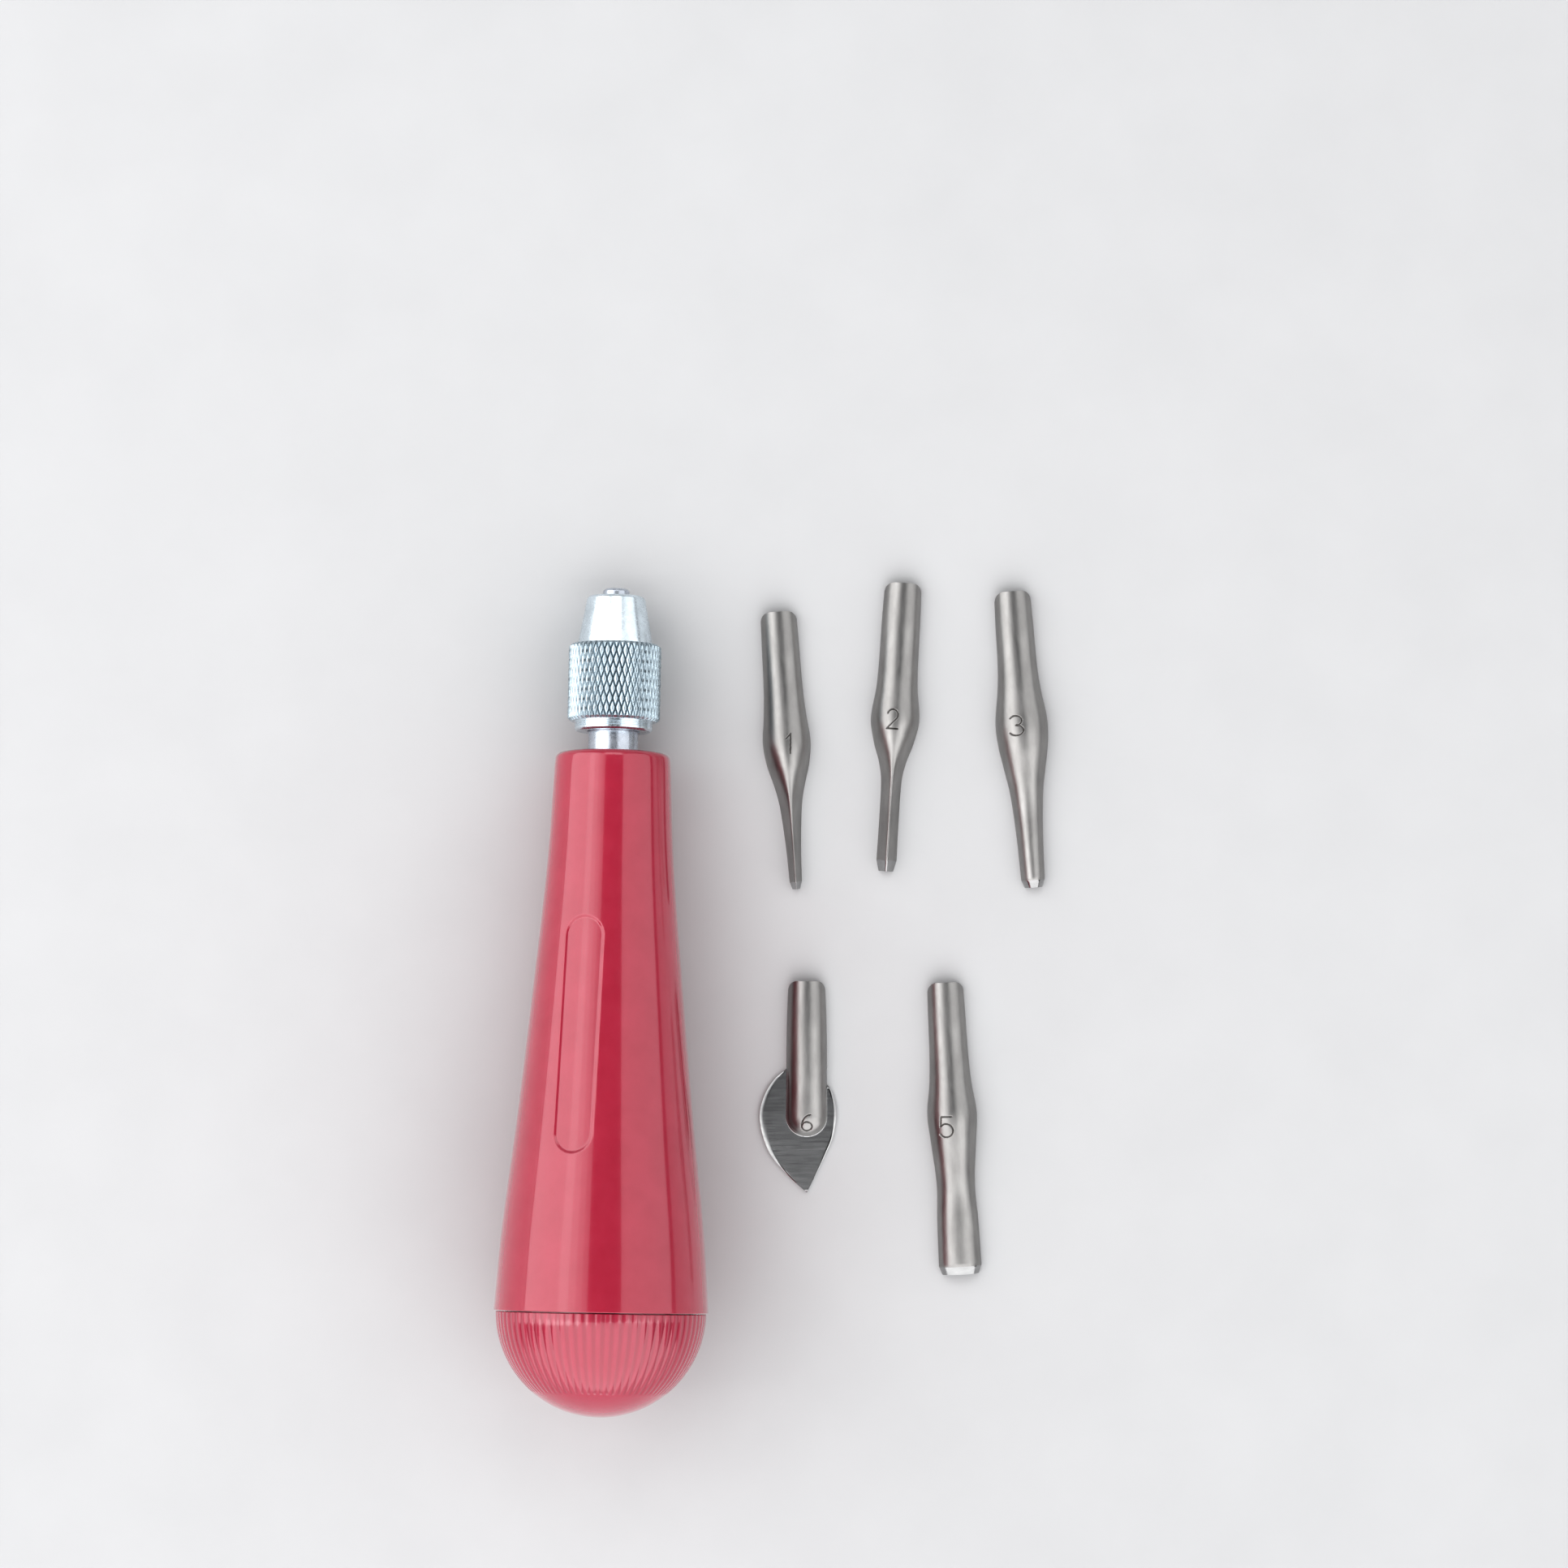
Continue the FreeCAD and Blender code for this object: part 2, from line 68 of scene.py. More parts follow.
# ---- light and floor, in metres ----
# A softbox is a corner, the side and the way down from that corner, and a radiance.
LEFT_CORNER = (-0.224, -0.15, 0.9)
LEFT_SIDE = (0, 0.85, 0)
LEFT_DOWN = (-0.576, 0, -0.87)
LEFT_STRIPS = [  # strips of the left light from its upper edge down: from, to, radiance
    (0.0, 0.116, 1.2), (0.116, 0.23, 1.7), (0.23, 0.343, 2.2), (0.343, 0.479, 2.8), (0.479, 1.0, 2.3),
]
SOFTBOXES = {
    "box_right": ((0.364, -0.15, 0.9), (0, 0.85, 0), (0.436, 0, -0.80), 1.3),
    "box_near": ((-1.3, -0.136, 0.9), (2.6, 0, 0), (0, -0.73, -0.88), 2.0),
    "box_far": ((-0.224, 0.45, 0.9), (0.544, 0, 0), (0, 0.4, -0.3), 2.1),
    "box_low": ((-0.9, 0.9, 0.6), (1.8, 0, 0), (0, 0.15, -0.5), 0.5),
}
SKY = (0.13, 0.135, 0.145)
FLOOR_HALF = 8.0
GLOW = [(0.76, 0.0), (0.82, 0.34), (1.3, 0.58), (2.2, 0.72)]  # of the floor: distance, strength
GLOW_REACH = 2.5  # distance that the glow's ramp covers

# ---- colours: a finish's full tone, and its darker tone (deep, dull) or the painted shade of its grooves ----
HANDLE_RED, HANDLE_DEEP = (0.38, 0.028, 0.062), (0.35, 0.022, 0.052)
CAP_RED, CAP_DEEP = (0.38, 0.034, 0.072), (0.35, 0.027, 0.060)
# The groove tones are painted shade, laid where the mesh lies in a knurl groove or a thread.
COLLAR_ZINC, COLLAR_GROOVE_SHADE = (0.78, 0.86, 0.91), (0.56, 0.64, 0.70)
# The knurl's tone is the collar's zinc made darker: painted shade.
KNURL_ZINC_SHADED, KNURL_GROOVE_SHADE = (0.60, 0.69, 0.74), (0.28, 0.34, 0.38)
STUD_ZINC, STUD_GROOVE_SHADE = (0.62, 0.66, 0.72), (0.3, 0.31, 0.33)
# The stamped figures' tone is painted shade in their recesses.
STEEL, STEEL_DULL, STEEL_STAMP_SHADE = (0.38, 0.372, 0.365), (0.29, 0.284, 0.278), (0.12, 0.115, 0.11)
GROUND, GROUND_DULL = (0.44, 0.44, 0.44), (0.36, 0.36, 0.36)
BALL, BALL_DULL = (0.78, 0.79, 0.81), (0.68, 0.69, 0.71)
FLOOR, FLOOR_DULL = (0.505, 0.505, 0.51), (0.49, 0.49, 0.495)

# ---- handle, as distances behind its front face; outlines are (radius, distance) ----
HANDLE_LENGTH = 75.4
HANDLE_RADII = [  # at these distances
    (0.0, 7.80), (14.5, 8.55), (31.6, 10.10), (50.0, 11.95), (64.8, 13.65), (HANDLE_LENGTH, 14.45),
]
FRONT_ROUND = 0.9
REAR_CHAMFER = 0.08
STUD_HOLE = [(0, 20.0), (3.4, 20.0), (3.4, 0.0)]
SOCKET_RADIUS = 12.0
SOCKET_FLOOR = 66.4
SOCKET_CHAMFER = 0.2
SOCKET_CORNER = 1.0  # height left for the rounded corner at its floor
STORAGE = [(11.2, SOCKET_FLOOR), (6.4, 29.0), (4.4, 26.5), (0, 25.5)]  # from the socket's floor on
STORAGE_ROUND = 0.8
PANEL_FRONT = 22.5
PANEL_LENGTH = 32.0
PANEL_WIDTH = 5.6
PANEL_DEPTH = 0.25
PANEL_ROLL = 19.0  # degrees from straight up, towards the left
PANEL_SLOPE = 0.35  # width of the recess's sloping wall
PANEL_MARGIN = 0.6  # by which the fine mesh goes beyond the panel's ends
PANEL_SPAN = 24.0  # degrees of fine mesh on each side of the panel's middle

# ---- cap ----
CAP_RADIUS = 14.17
CAP_RIBS = 72
RIB_HEIGHT = 0.06
RIB_STEPS = 10  # mesh steps to a rib
RIB_PHASE = 0.36  # parts of a rib by which the ribs are turned
RIB_CREST = 0.14  # parts of a rib from its middle to where its crest ends
RIB_FOOT = 0.40  # the same, to where the valley starts
RIB_FADE = (48.5, 51.0)  # degrees from the seam, over which the ribs run out
DOME_START = 0.9  # degrees from the seam
CAP_EDGE = 0.1  # chamfer at the seam
SEAM_GAP = 0.13
SEAM_STEP = 1.0  # width of the ledge that seats on the handle, inside the seam
SPIGOT_RADIUS = 11.95
SPIGOT_LENGTH = 8.0
SPIGOT_CHAMFER = 0.4
CAP_HOLLOW_RADIUS = 10.2
CAP_HOLLOW_DEPTH = 11.4
CAP_HOLLOW_CHAMFER = 0.2
CAP_PITCH = 3.0  # of the coarse moulded thread on the spigot and in its socket
CAP_THREAD = 0.38  # its depth
CAP_FLANK = (0.16, 0.30)  # where its flank starts and ends, in turns from the middle of a crest
CAP_RUN_OUT = 1.0  # length over which it runs out
CAP_MARGIN = 0.5  # from its ends to those of the spigot and of the socket
CAP_SEAM_MARGIN = 0.8  # the same, on the spigot at the seam
CAP_ROW = 0.25  # length of a mesh row over it

# ---- chuck, as distances in front of the handle's front face; outlines are (radius, distance) ----
NOSE_END = 21.45
STUD_SHANK = [(0, -19.9), (3.3, -19.9), (3.38, 3.4)]
STUD_END = 10.4
STUD_CUP = 2.2  # radius and depth of the cone that holds the ball
STUD_CHAMFER = 0.5
THREAD_RADIUS = 3.15
THREAD_START = 3.5
THREAD_RUN_OUT = 0.8
THREAD_PITCH = 1.27
THREAD_DEPTH = 0.42
THREAD_FLANK, THREAD_CREST = 1.15, 0.05  # how much steeper than a plain V it is, and its flat crest
KNURL_REAR = 4.37
KNURL_FRONT = 14.84
KNURL_RADIUS = 6.3
KNURL_BEVEL = 0.45
KNURL_DEPTH = 0.25
KNURL_CROWN = 2.0  # how rounded a pyramid is, 1 for flat flanks
KNURL_COUNT = 46  # grooves of each hand
KNURL_LENGTHS = 4  # diamonds along the knurl
KNURL_STEPS = 8  # mesh steps to a diamond, each way
KNURL_ROOT = 5.5  # nothing inside this radius is knurled
BAND_RADIUS = 5.28
BAND_CHAMFER = 0.25
BAND_RINGS = (0.62, 0.86, 1.1)  # turned rings of the band, in front of the collar's rear
RING_DEPTH, RING_HALF = 0.07, 0.06
COLLAR_REAR = 2.97
COLLAR_STEP = 0.02  # from the knurl's ends to the band and the cone
COLLAR_ROUND = 0.12
COLLAR_CONE = [(5.1, KNURL_FRONT + COLLAR_STEP), (3.95, NOSE_END - 0.3), (3.65, NOSE_END)]
COLLAR_MOUTH = [(3.15, NOSE_END), (2.95, NOSE_END - 0.2), (2.95, 16.9)]
COLLAR_BORE = [(3.6, 16.1), (3.6, 10.9), (3.19, 10.9), (3.19, 5.2)]  # the jaw's chamber and the thread
COLLAR_CLEARANCE = [(3.55, 5.2), (3.55, COLLAR_REAR)]  # behind the thread
JAW = [(0, 14.55), (3.2, 14.55), (3.5, 14.85), (3.5, 15.7), (3.3, 15.9), (2.2, 15.9),
       (1.79, NOSE_END), (1.79, 22.2), (1.49, 22.5), (0, 22.5)]
PART_ROUND = 0.1  # of the jaw's and the stud's edges
PART_COLUMNS = 96

# ---- cutters ----
SHEET = 0.55
END_CORNER = 1.25
EDGE_SHEET = 0.08  # thickness of the sheet at a cutting edge
THIN_FROM = 0.5  # part of a gouge's length from which its sheet thins
VEE_ROUND = 0.22  # how rounded the point of a V section is
UNDER_EVERY = 4  # mesh columns on a gouge to one under it
FIGURE_STROKE = 0.26
FIGURE_DEPTH = 0.12
FIGURE_FLAT = 0.25  # part of a stroke's width that is at full depth
FIGURE_REACH = 1.7  # length of the fine mesh to each side of a figure's middle

# Stations of a gouge: length from the shank's end, half width, height, and how far the section has
# turned from a half round (0) into a V (1). figure: text, across, along, height, width.
GOUGES = {
    "cutter_1": {
        "lean": 3.74, "bevel": 1.0, "tip_sheet": 0.34, "figure": ("1", 0.45, 18.1, 2.7, 1.2),
        "stations": [
            (0.0, 2.45, 2.35, 0.0), (4.0, 2.55, 2.45, 0.0), (11.0, 2.70, 2.60, 0.0),
            (14.5, 2.95, 2.95, 0.0), (18.0, 3.28, 3.40, 0.1), (21.0, 2.90, 3.30, 0.3),
            (23.5, 2.20, 2.90, 0.5), (26.0, 1.62, 2.60, 0.8), (29.0, 1.28, 2.40, 1.0),
            (33.0, 1.00, 2.30, 1.0), (38.1, 0.80, 2.20, 1.0),
        ],
    },
    "cutter_2": {
        "lean": -3.5, "bevel": 1.5, "tip_sheet": 0.42, "figure": ("2", -0.4, 18.7, 2.65, 1.55),
        "stations": [
            (0.0, 2.50, 2.40, 0.0), (4.0, 2.62, 2.50, 0.0), (11.4, 2.70, 2.60, 0.0),
            (14.5, 2.85, 2.90, 0.0), (18.8, 3.33, 3.45, 0.1), (22.0, 2.72, 3.20, 0.35),
            (24.5, 1.90, 2.75, 0.6), (27.0, 1.42, 2.45, 0.9), (33.0, 1.34, 2.30, 1.0),
            (39.6, 1.40, 2.25, 1.0),
        ],
    },
    "cutter_3": {
        "lean": 4.2, "bevel": 1.0, "tip_sheet": 0.45, "figure": ("3", -0.86, 18.4, 2.7, 1.9),
        "stations": [
            (0.0, 2.45, 2.35, 0.0), (4.0, 2.58, 2.45, 0.0), (10.3, 2.70, 2.60, 0.0),
            (13.5, 2.97, 2.90, 0.0), (18.0, 3.58, 3.55, 0.0), (21.2, 3.40, 3.45, 0.0),
            (24.3, 2.86, 3.05, 0.0), (27.5, 2.30, 2.65, 0.0), (33.0, 1.86, 2.30, 0.0),
            (40.7, 1.58, 2.10, 0.0),
        ],
    },
    "cutter_5": {
        "lean": 3.1, "bevel": 1.1, "tip_sheet": 0.5, "figure": ("5", -1.0, 19.7, 2.8, 1.9),
        "stations": [
            (0.0, 2.45, 2.35, 0.0), (4.0, 2.55, 2.45, 0.0), (10.0, 2.66, 2.60, 0.0),
            (14.0, 2.90, 2.95, 0.0), (18.0, 3.40, 3.50, 0.0), (22.0, 3.10, 3.25, 0.0),
            (26.2, 2.70, 2.75, 0.0), (29.0, 2.62, 2.50, 0.0), (32.5, 2.80, 2.40, 0.0),
            (40.1, 2.95, 2.35, 0.0),
        ],
    },
}

KNIFE_LENGTH = 29.1
KNIFE_SHANK_END = 21.4
KNIFE_ROUND = 18.54  # length to the middle of the shank's round end
KNIFE_SHANK = [  # length, half width, height
    (0.0, 2.50, 2.40), (6.0, 2.72, 2.60), (13.0, 2.80, 2.60), (KNIFE_ROUND, 2.86, 2.50),
]
KNIFE_LEFT = [  # length, reach of the blade
    (12.0, 2.6), (13.5, 4.4), (16.0, 5.9), (19.0, 6.45), (23.4, 5.25), (26.4, 2.9), (KNIFE_LENGTH, 0.0),
]
KNIFE_RIGHT = [
    (13.9, 2.6), (15.4, 3.5), (18.0, 4.05), (KNIFE_SHANK_END, 3.6), (23.8, 2.6), (26.5, 1.3),
    (KNIFE_LENGTH, 0.0),
]
KNIFE_RIM = 0.32  # width of the bevel along the blade's edge
KNIFE_RIM_DROP = 0.08  # and at most KNIFE_RIM_PART of the blade's thickness
KNIFE_RIM_PART = 0.4
KNIFE_FILLET = 0.3  # between shank and blade
KNIFE_FADE = 0.35  # width over which the blade comes out of the shank
KNIFE_FLAT = 1.3 * SHEET  # below this height the knife is ground blade, above it shank
KNIFE_CORE = 0.8  # at most this part of the blade's reach is finely meshed past KNIFE_ROUND
KNIFE_FINE = (17.6, 22.0)  # lengths of the finest mesh, over the figure and the shank's end
KNIFE_COLUMNS = 120  # mesh columns over the fine middle
FLANGE_COLUMNS = 8  # and over the blade on each side of it
KNIFE_FIGURE = ("6", 0.0, 19.4, 2.25, 1.45)

# ---- meshes ----
CRISP_ANGLE = 38.0  # degrees; a sharper edge stays crisp
WELD = 2e-6  # metres; closer points are merged
SLIVER = 1e-7  # metres; shorter edges are dissolved
ON_AXIS = 1e-6  # a smaller radius is on the axis
ROUND_OFF = 1e-6  # parts of a mesh step that are too few for one more step
CORNER_PART = 0.45  # part of an edge that a rounded corner may take at each of its ends


# ---------------------------------------------------------------- shape helpers
def eased(x, start, end):
    """0 before start, 1 after end, smooth between."""
    u = min(1.0, max(0.0, (x - start) / (end - start)))
    return u * u * (3 - 2 * u)


def between(stations, t):
    """Values at length t, eased from station to station with matching slopes."""
    spots = [s[0] for s in stations]
    i = max(k for k in range(len(spots) - 1) if spots[k] <= t or k == 0)
    span = spots[i + 1] - spots[i]
    u = (t - spots[i]) / span
    values = []
    for column in range(1, len(stations[0])):
        rows = [s[column] for s in stations]

        def slope(k):
            a, b = max(k - 1, 0), min(k + 1, len(rows) - 1)
            return (rows[b] - rows[a]) / (spots[b] - spots[a])

        values.append(
            (2 * u**3 - 3 * u**2 + 1) * rows[i]
            + (u**3 - 2 * u**2 + u) * span * slope(i)
            + (3 * u**2 - 2 * u**3) * rows[i + 1]
            + (u**3 - u**2) * span * slope(i + 1)
        )
    return values


def graded(start, *stretches):
    """Values from start on over stretches of (end, step), evenly spaced in each and no further
    apart than its step. The last end is the last value."""
    values = []
    for end, step in stretches:
        count = max(1, math.ceil(abs(end - start) / step - ROUND_OFF))
        values += [start + (end - start) * k / count for k in range(count)]
        start = end
    return values + [start]


def quarter(steps):
    """Angles of a quarter turn, from 0 on."""
    return [math.pi / 2 * k / steps for k in range(steps + 1)]


def ring(columns):
    """Evenly spaced angles of a whole turn."""
    return [2 * math.pi * k / columns for k in range(columns)]


def rounded(corners, radius, steps=3):
    """An open outline whose inner corners are rounded."""
    points = [corners[0]]
    for before, corner, after in zip(corners, corners[1:], corners[2:]):
        a, b, c = (Vector((p[0], p[1])) for p in (before, corner, after))
        reach = min(radius, (a - b).length * CORNER_PART, (c - b).length * CORNER_PART)
        first = b + (a - b).normalized() * reach
        last = b + (c - b).normalized() * reach
        for k in range(steps + 1):
            u = k / steps
            points.append(tuple(first * (1 - u) ** 2 + b * 2 * u * (1 - u) + last * u**2))
    return points + [corners[-1]]


def placed(name, data, place):
    """A new object in the scene."""
    piece = bpy.data.objects.new(name, data)
    bpy.context.scene.collection.objects.link(piece)
    piece.matrix_world = place
    return piece


def crisp(mesh):
    """Smooth shading that keeps the sharp edges."""
    mesh.shade_smooth()
    mesh.set_sharp_from_angle(angle=math.radians(CRISP_ANGLE))


def finished(name, points, faces, place, grooves=None):
    """An object from points in millimetres, in the frame `place`. grooves says for each point how
    far it lies in a groove, from 0 to 1."""
    mesh = bpy.data.meshes.new(name)
    mesh.from_pydata([[c * MM for c in p] for p in points], [], faces)
    if grooves:
        mesh.attributes.new("groove", "FLOAT", "POINT").data.foreach_set("value", grooves)
    mesh.validate()
    crisp(mesh)
    return placed(name, mesh, place)


def welded(piece):
    """Merges points that fall together, so that no face has no area."""
    mesh = bmesh.new()
    mesh.from_mesh(piece.data)
    bmesh.ops.remove_doubles(mesh, verts=mesh.verts, dist=WELD)
    bmesh.ops.dissolve_degenerate(mesh, edges=mesh.edges, dist=SLIVER)
    bmesh.ops.recalc_face_normals(mesh, faces=mesh.faces)
    mesh.to_mesh(piece.data)
    mesh.free()
    crisp(piece.data)
    return piece


def lathe(name, outline, place, angles, groove=None, deepest=None, knurled=None):
    """A turned piece about local Y, from an outline of (radius, y) swept through these angles.
    groove(radius, y, angle) is cut into it; where `deepest` is given, the mesh says how much of that
    depth each point has. knurled gives the first and last outline index of a knurl, whose faces are
    split along its grooves."""
    points, rings, faces, depths = [], [], [], []
    for r, y in outline:
        if r < ON_AXIS:
            rings.append([len(points)] * len(angles))
            points.append((0, y, 0))
            depths.append(0.0)
            continue
        rings.append(list(range(len(points), len(points) + len(angles))))
        for angle in angles:
            depth = groove(r, y, angle) if groove else 0.0
            depths.append(depth)
            points.append(((r - depth) * math.sin(angle), y, (r - depth) * math.cos(angle)))
    pairs = [(j, j + 1) for j in range(len(rings) - 1)]
    if outline[0][0] > ON_AXIS:
        pairs.append((len(rings) - 1, 0))
    for j, following in pairs:
        for k in range(len(angles)):
            across = (k + 1) % len(angles)
            a, b, c, d = rings[j][k], rings[j][across], rings[following][across], rings[following][k]
            if knurled and knurled[0] <= j < knurled[1]:
                row = j - knurled[0]
                if (k - row) % KNURL_STEPS == 0:
                    faces += [(a, b, c), (a, c, d)]
                    continue
                if (k + row + 1) % KNURL_STEPS == 0:
                    faces += [(a, b, d), (b, c, d)]
                    continue
            corners = [v for i, v in enumerate((a, b, c, d)) if v not in (a, b, c, d)[:i]]
            faces.append(tuple(corners))
    grooves = [depth / deepest for depth in depths] if deepest else None
    return finished(name, points, faces, place, grooves)


def shell(name, outer, inner, grooves, place):
    """A closed sheet between two grids of points with the same rows; the outer grid's columns are a
    whole number of times finer than the inner's. grooves has the outer grid's groove depths."""
    wide, narrow, last = len(outer[0]), len(inner[0]), len(outer) - 1
    ratio = (wide - 1) // (narrow - 1)
    grooves = [g for row in grooves for g in row] + [0.0] * (len(inner) * narrow)
    points = [p for row in outer for p in row] + [p for row in inner for p in row]

    def top(j, k):
        return j * wide + k

    def under(j, k):
        return len(outer) * wide + j * narrow + k

    faces = []
    for j in range(last):
        for k in range(wide - 1):
            faces.append((top(j, k), top(j, k + 1), top(j + 1, k + 1), top(j + 1, k)))
        for k in range(narrow - 1):
            faces.append((under(j, k), under(j + 1, k), under(j + 1, k + 1), under(j, k + 1)))
        right, left = wide - 1, narrow - 1
        faces.append((top(j, 0), top(j + 1, 0), under(j + 1, 0), under(j, 0)))
        faces.append((top(j, right), under(j, left), under(j + 1, left), top(j + 1, right)))
    for k in range(narrow - 1):
        run = range(k * ratio, (k + 1) * ratio + 1)
        faces.append((under(0, k), under(0, k + 1), *[top(0, i) for i in reversed(run)]))
        faces.append((under(last, k + 1), under(last, k), *[top(last, i) for i in run]))
    return welded(finished(name, points, faces, place, grooves))


# ---------------------------------------------------------------- stamped figures
def bow(x, y, wide, high, start, end, steps=14):
    """Points of an elliptical arc, angles in degrees."""
    turns = [math.radians(start + (end - start) * k / steps) for k in range(steps + 1)]
    return [(x + wide * math.cos(a), y + high * math.sin(a)) for a in turns]


FIGURES = {  # strokes in a box one wide and one high, about its middle
    "1": [[(-0.45, 0.24), (0.16, 0.5), (-0.06, -0.5)]],
    "2": [bow(0, 0.22, 0.47, 0.28, 165, -35) + [(-0.5, -0.5), (0.5, -0.5)]],
    "3": [bow(-0.05, 0.26, 0.45, 0.24, 150, -90), bow(-0.05, -0.24, 0.53, 0.26, 90, -150)],
    "5": [[(0.42, 0.5), (-0.34, 0.5), (-0.42, 0.03)] + bow(-0.02, -0.17, 0.5, 0.33, 140, -145)],
    "6": [bow(0.38, -0.22, 0.88, 0.72, 92, 180), bow(0, -0.22, 0.5, 0.28, 0, 360, 22)],
}


def from_line(spot, a, b):
    """Distance of a point from the straight line between two others."""
    run = b - a
    share = min(1.0, max(0.0, (spot - a).dot(run) / run.length_squared))
    return (spot - a - run * share).length


def stamped(figure, x, t):
    """Depth of a stamped figure below the surface at a point of a cutter's plan."""
    text, across, along, high, wide = figure
    px, py = x - across, along - t
    if abs(px) > wide / 2 + FIGURE_STROKE or abs(py) > high / 2 + FIGURE_STROKE:
        return 0.0
    half = FIGURE_STROKE / 2
    nearest = half
    for stroke in FIGURES[text]:
        ends = [Vector((a * wide, b * high)) for a, b in stroke]
        for a, b in zip(ends, ends[1:]):
            nearest = min(nearest, from_line(Vector((px, py)), a, b))
    return FIGURE_DEPTH * (1 - eased(nearest, half * FIGURE_FLAT, half))


# ---------------------------------------------------------------- cutters
def arch(u, half_width, height, vee):
    """Point of a cutter's section line, u from 0 at +X over the top to 1 at -X."""
    across = 1 - 2 * u
    peak = (math.hypot(across, VEE_ROUND) - VEE_ROUND) / (math.hypot(1, VEE_ROUND) - VEE_ROUND)
    x = (1 - vee) * math.cos(math.pi * u) + vee * across
    z = (1 - vee) * math.sin(math.pi * u) + vee * (1 - peak)
    return half_width * x, height * z


def inset(size, depth):
    """A section's half width, height and V share, with its surface set in by depth."""
    half_width, height, vee = size
    slant = math.hypot(half_width, height)
    sides = (1 - vee) + vee * slant / height
    top = (1 - vee) + vee * slant / half_width
    return half_width - depth * sides, height - depth * top, vee


def within(limit, half_width, height, vee):
    """The part of a section's line that lies inside a sideways limit, as its first u."""
    if half_width <= limit:
        return 0.0
    low, high = 0.0, 0.5
    for _ in range(30):
        middle = (low + high) / 2
        if arch(middle, half_width, height, vee)[0] > limit:
            low = middle
        else:
            high = middle
    return high


def section(size, limit, columns):
    """Points (x, z) of a section's line inside a sideways limit, at these parts of its length."""
    first = within(limit, *size)
    return [arch(first + u * (1 - 2 * first), *size) for u in columns]


def end_limit(t, half_width):
    """How far a shank reaches sideways near its rounded end."""
    if t >= END_CORNER:
        return math.inf
    return half_width - END_CORNER + math.sqrt(END_CORNER**2 - (END_CORNER - t) ** 2)


def end_rows():
    """Lengths of the mesh rows over a shank's rounded end."""
    return [END_CORNER * (1 - math.cos(a)) for a in quarter(8)][:-1]


def set_in_box(piece, node):
    """Moves a piece so that its box and its CAD node's box have one middle and one floor."""
    corners = [piece.matrix_world @ v.co for v in piece.data.vertices]
    low = Vector(min(c[i] for c in corners) for i in range(3))
    high = Vector(max(c[i] for c in corners) for i in range(3))
    node_low, node_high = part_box(node)
    shift = (node_low + node_high - low - high) / 2
    shift.z = node_low.z - low.z
    piece.matrix_world = Matrix.Translation(shift) @ piece.matrix_world
    return piece


def blade_name(node):
    """Name of the finished piece that stands for a cutter's CAD node."""
    return node.replace("cutter_", "blade_")


def gouge(node, lean, bevel, tip_sheet, figure, stations):
    """Sheet formed from a half-round shank into a U or a V, thinner towards its ground edge. lean
    is its turn in plan, in degrees."""
    length = stations[-1][0]
    first, last = figure[2] - FIGURE_REACH, figure[2] + FIGURE_REACH
    rows = graded(END_CORNER, (first, 0.5), (last, 0.05), (length - bevel, 0.5), (length, 0.2))
    columns = graded(0.0, (0.26, 0.02), (0.70, 0.0055), (1.0, 0.02))  # closest over the figure
    outer, inner, grooves = [], [], []
    for t in end_rows() + rows:
        size = between(stations, t)
        limit = end_limit(t, stations[0][1])
        thinning = max(0.0, (t - THIN_FROM * length) / ((1 - THIN_FROM) * length))
        sheet = SHEET + (tip_sheet - SHEET) * thinning
        ground = max(0.0, (t - length + bevel) / bevel)
        outside = inset(size, (sheet - EDGE_SHEET) * ground)
        row, cuts = [], []
        for x, z in section(outside, limit, columns):
            sunk = stamped(figure, x, t)
            normal = Vector((x / outside[0] ** 2, z / outside[1] ** 2)).normalized()
            row.append((x - normal.x * sunk, -t, z - normal.y * sunk))
            cuts.append(sunk / FIGURE_DEPTH)
        outer.append(row)
        grooves.append(cuts)
        under = section(inset(size, sheet), limit, columns[::UNDER_EVERY])
        inner.append([(x, -t, z) for x, z in under])
    turn = Matrix.Rotation(math.radians(lean), 4, "Z")
    return set_in_box(shell(blade_name(node), outer, inner, grooves, turn), node)


def smooth_most(a, b, blend):
    """The larger of two heights, with a fillet where they cross."""
    h = min(1.0, max(0.0, 0.5 + 0.5 * (a - b) / blend))
    return b + (a - b) * h + blend * h * (1 - h)


def shank_height(x, t, drop):
    """Height of the knife's shank, set in by drop, over a point of the plan."""
    half_width, height = between(KNIFE_SHANK, min(t, KNIFE_ROUND))
    away = math.hypot(x, max(0.0, t - KNIFE_ROUND)) / (half_width - drop)
    return (height - drop) * math.sqrt(max(0.0, 1 - away * away))


def knife_side(side, t, limit):
    """One side of the knife at length t: how far it reaches, how far its finely meshed middle does,
    and how thick the blade is. limit is the shank's own reach."""
    reach = limit
    if t >= side[0][0]:
        reach = max(0.0, between(side, t)[0])
        if t <= KNIFE_SHANK_END:
            reach = max(reach, limit)
    core = min(limit, KNIFE_CORE * reach) if t > KNIFE_ROUND else limit
    plate = SHEET * eased(reach - limit, 0.0, KNIFE_FADE) if t <= KNIFE_SHANK_END else SHEET
    return reach, core, plate


def knife_flange(reach, core):
    """Places of the mesh columns from the middle out to one edge, the last two across its bevel."""
    flat = [core + (reach - core) * k / FLANGE_COLUMNS for k in range(1, FLANGE_COLUMNS - 1)]
    return flat + [reach - min(KNIFE_RIM, 0.5 * (reach - core)), reach]


def knife_surface(x, t, plate):
    """Height of the knife's surface: its shank rising out of a blade of this thickness."""
    blend = KNIFE_FILLET * min(1, plate / SHEET + 1e-3)  # never 0
    return smooth_most(shank_height(x, t, 0.0), plate, blend)


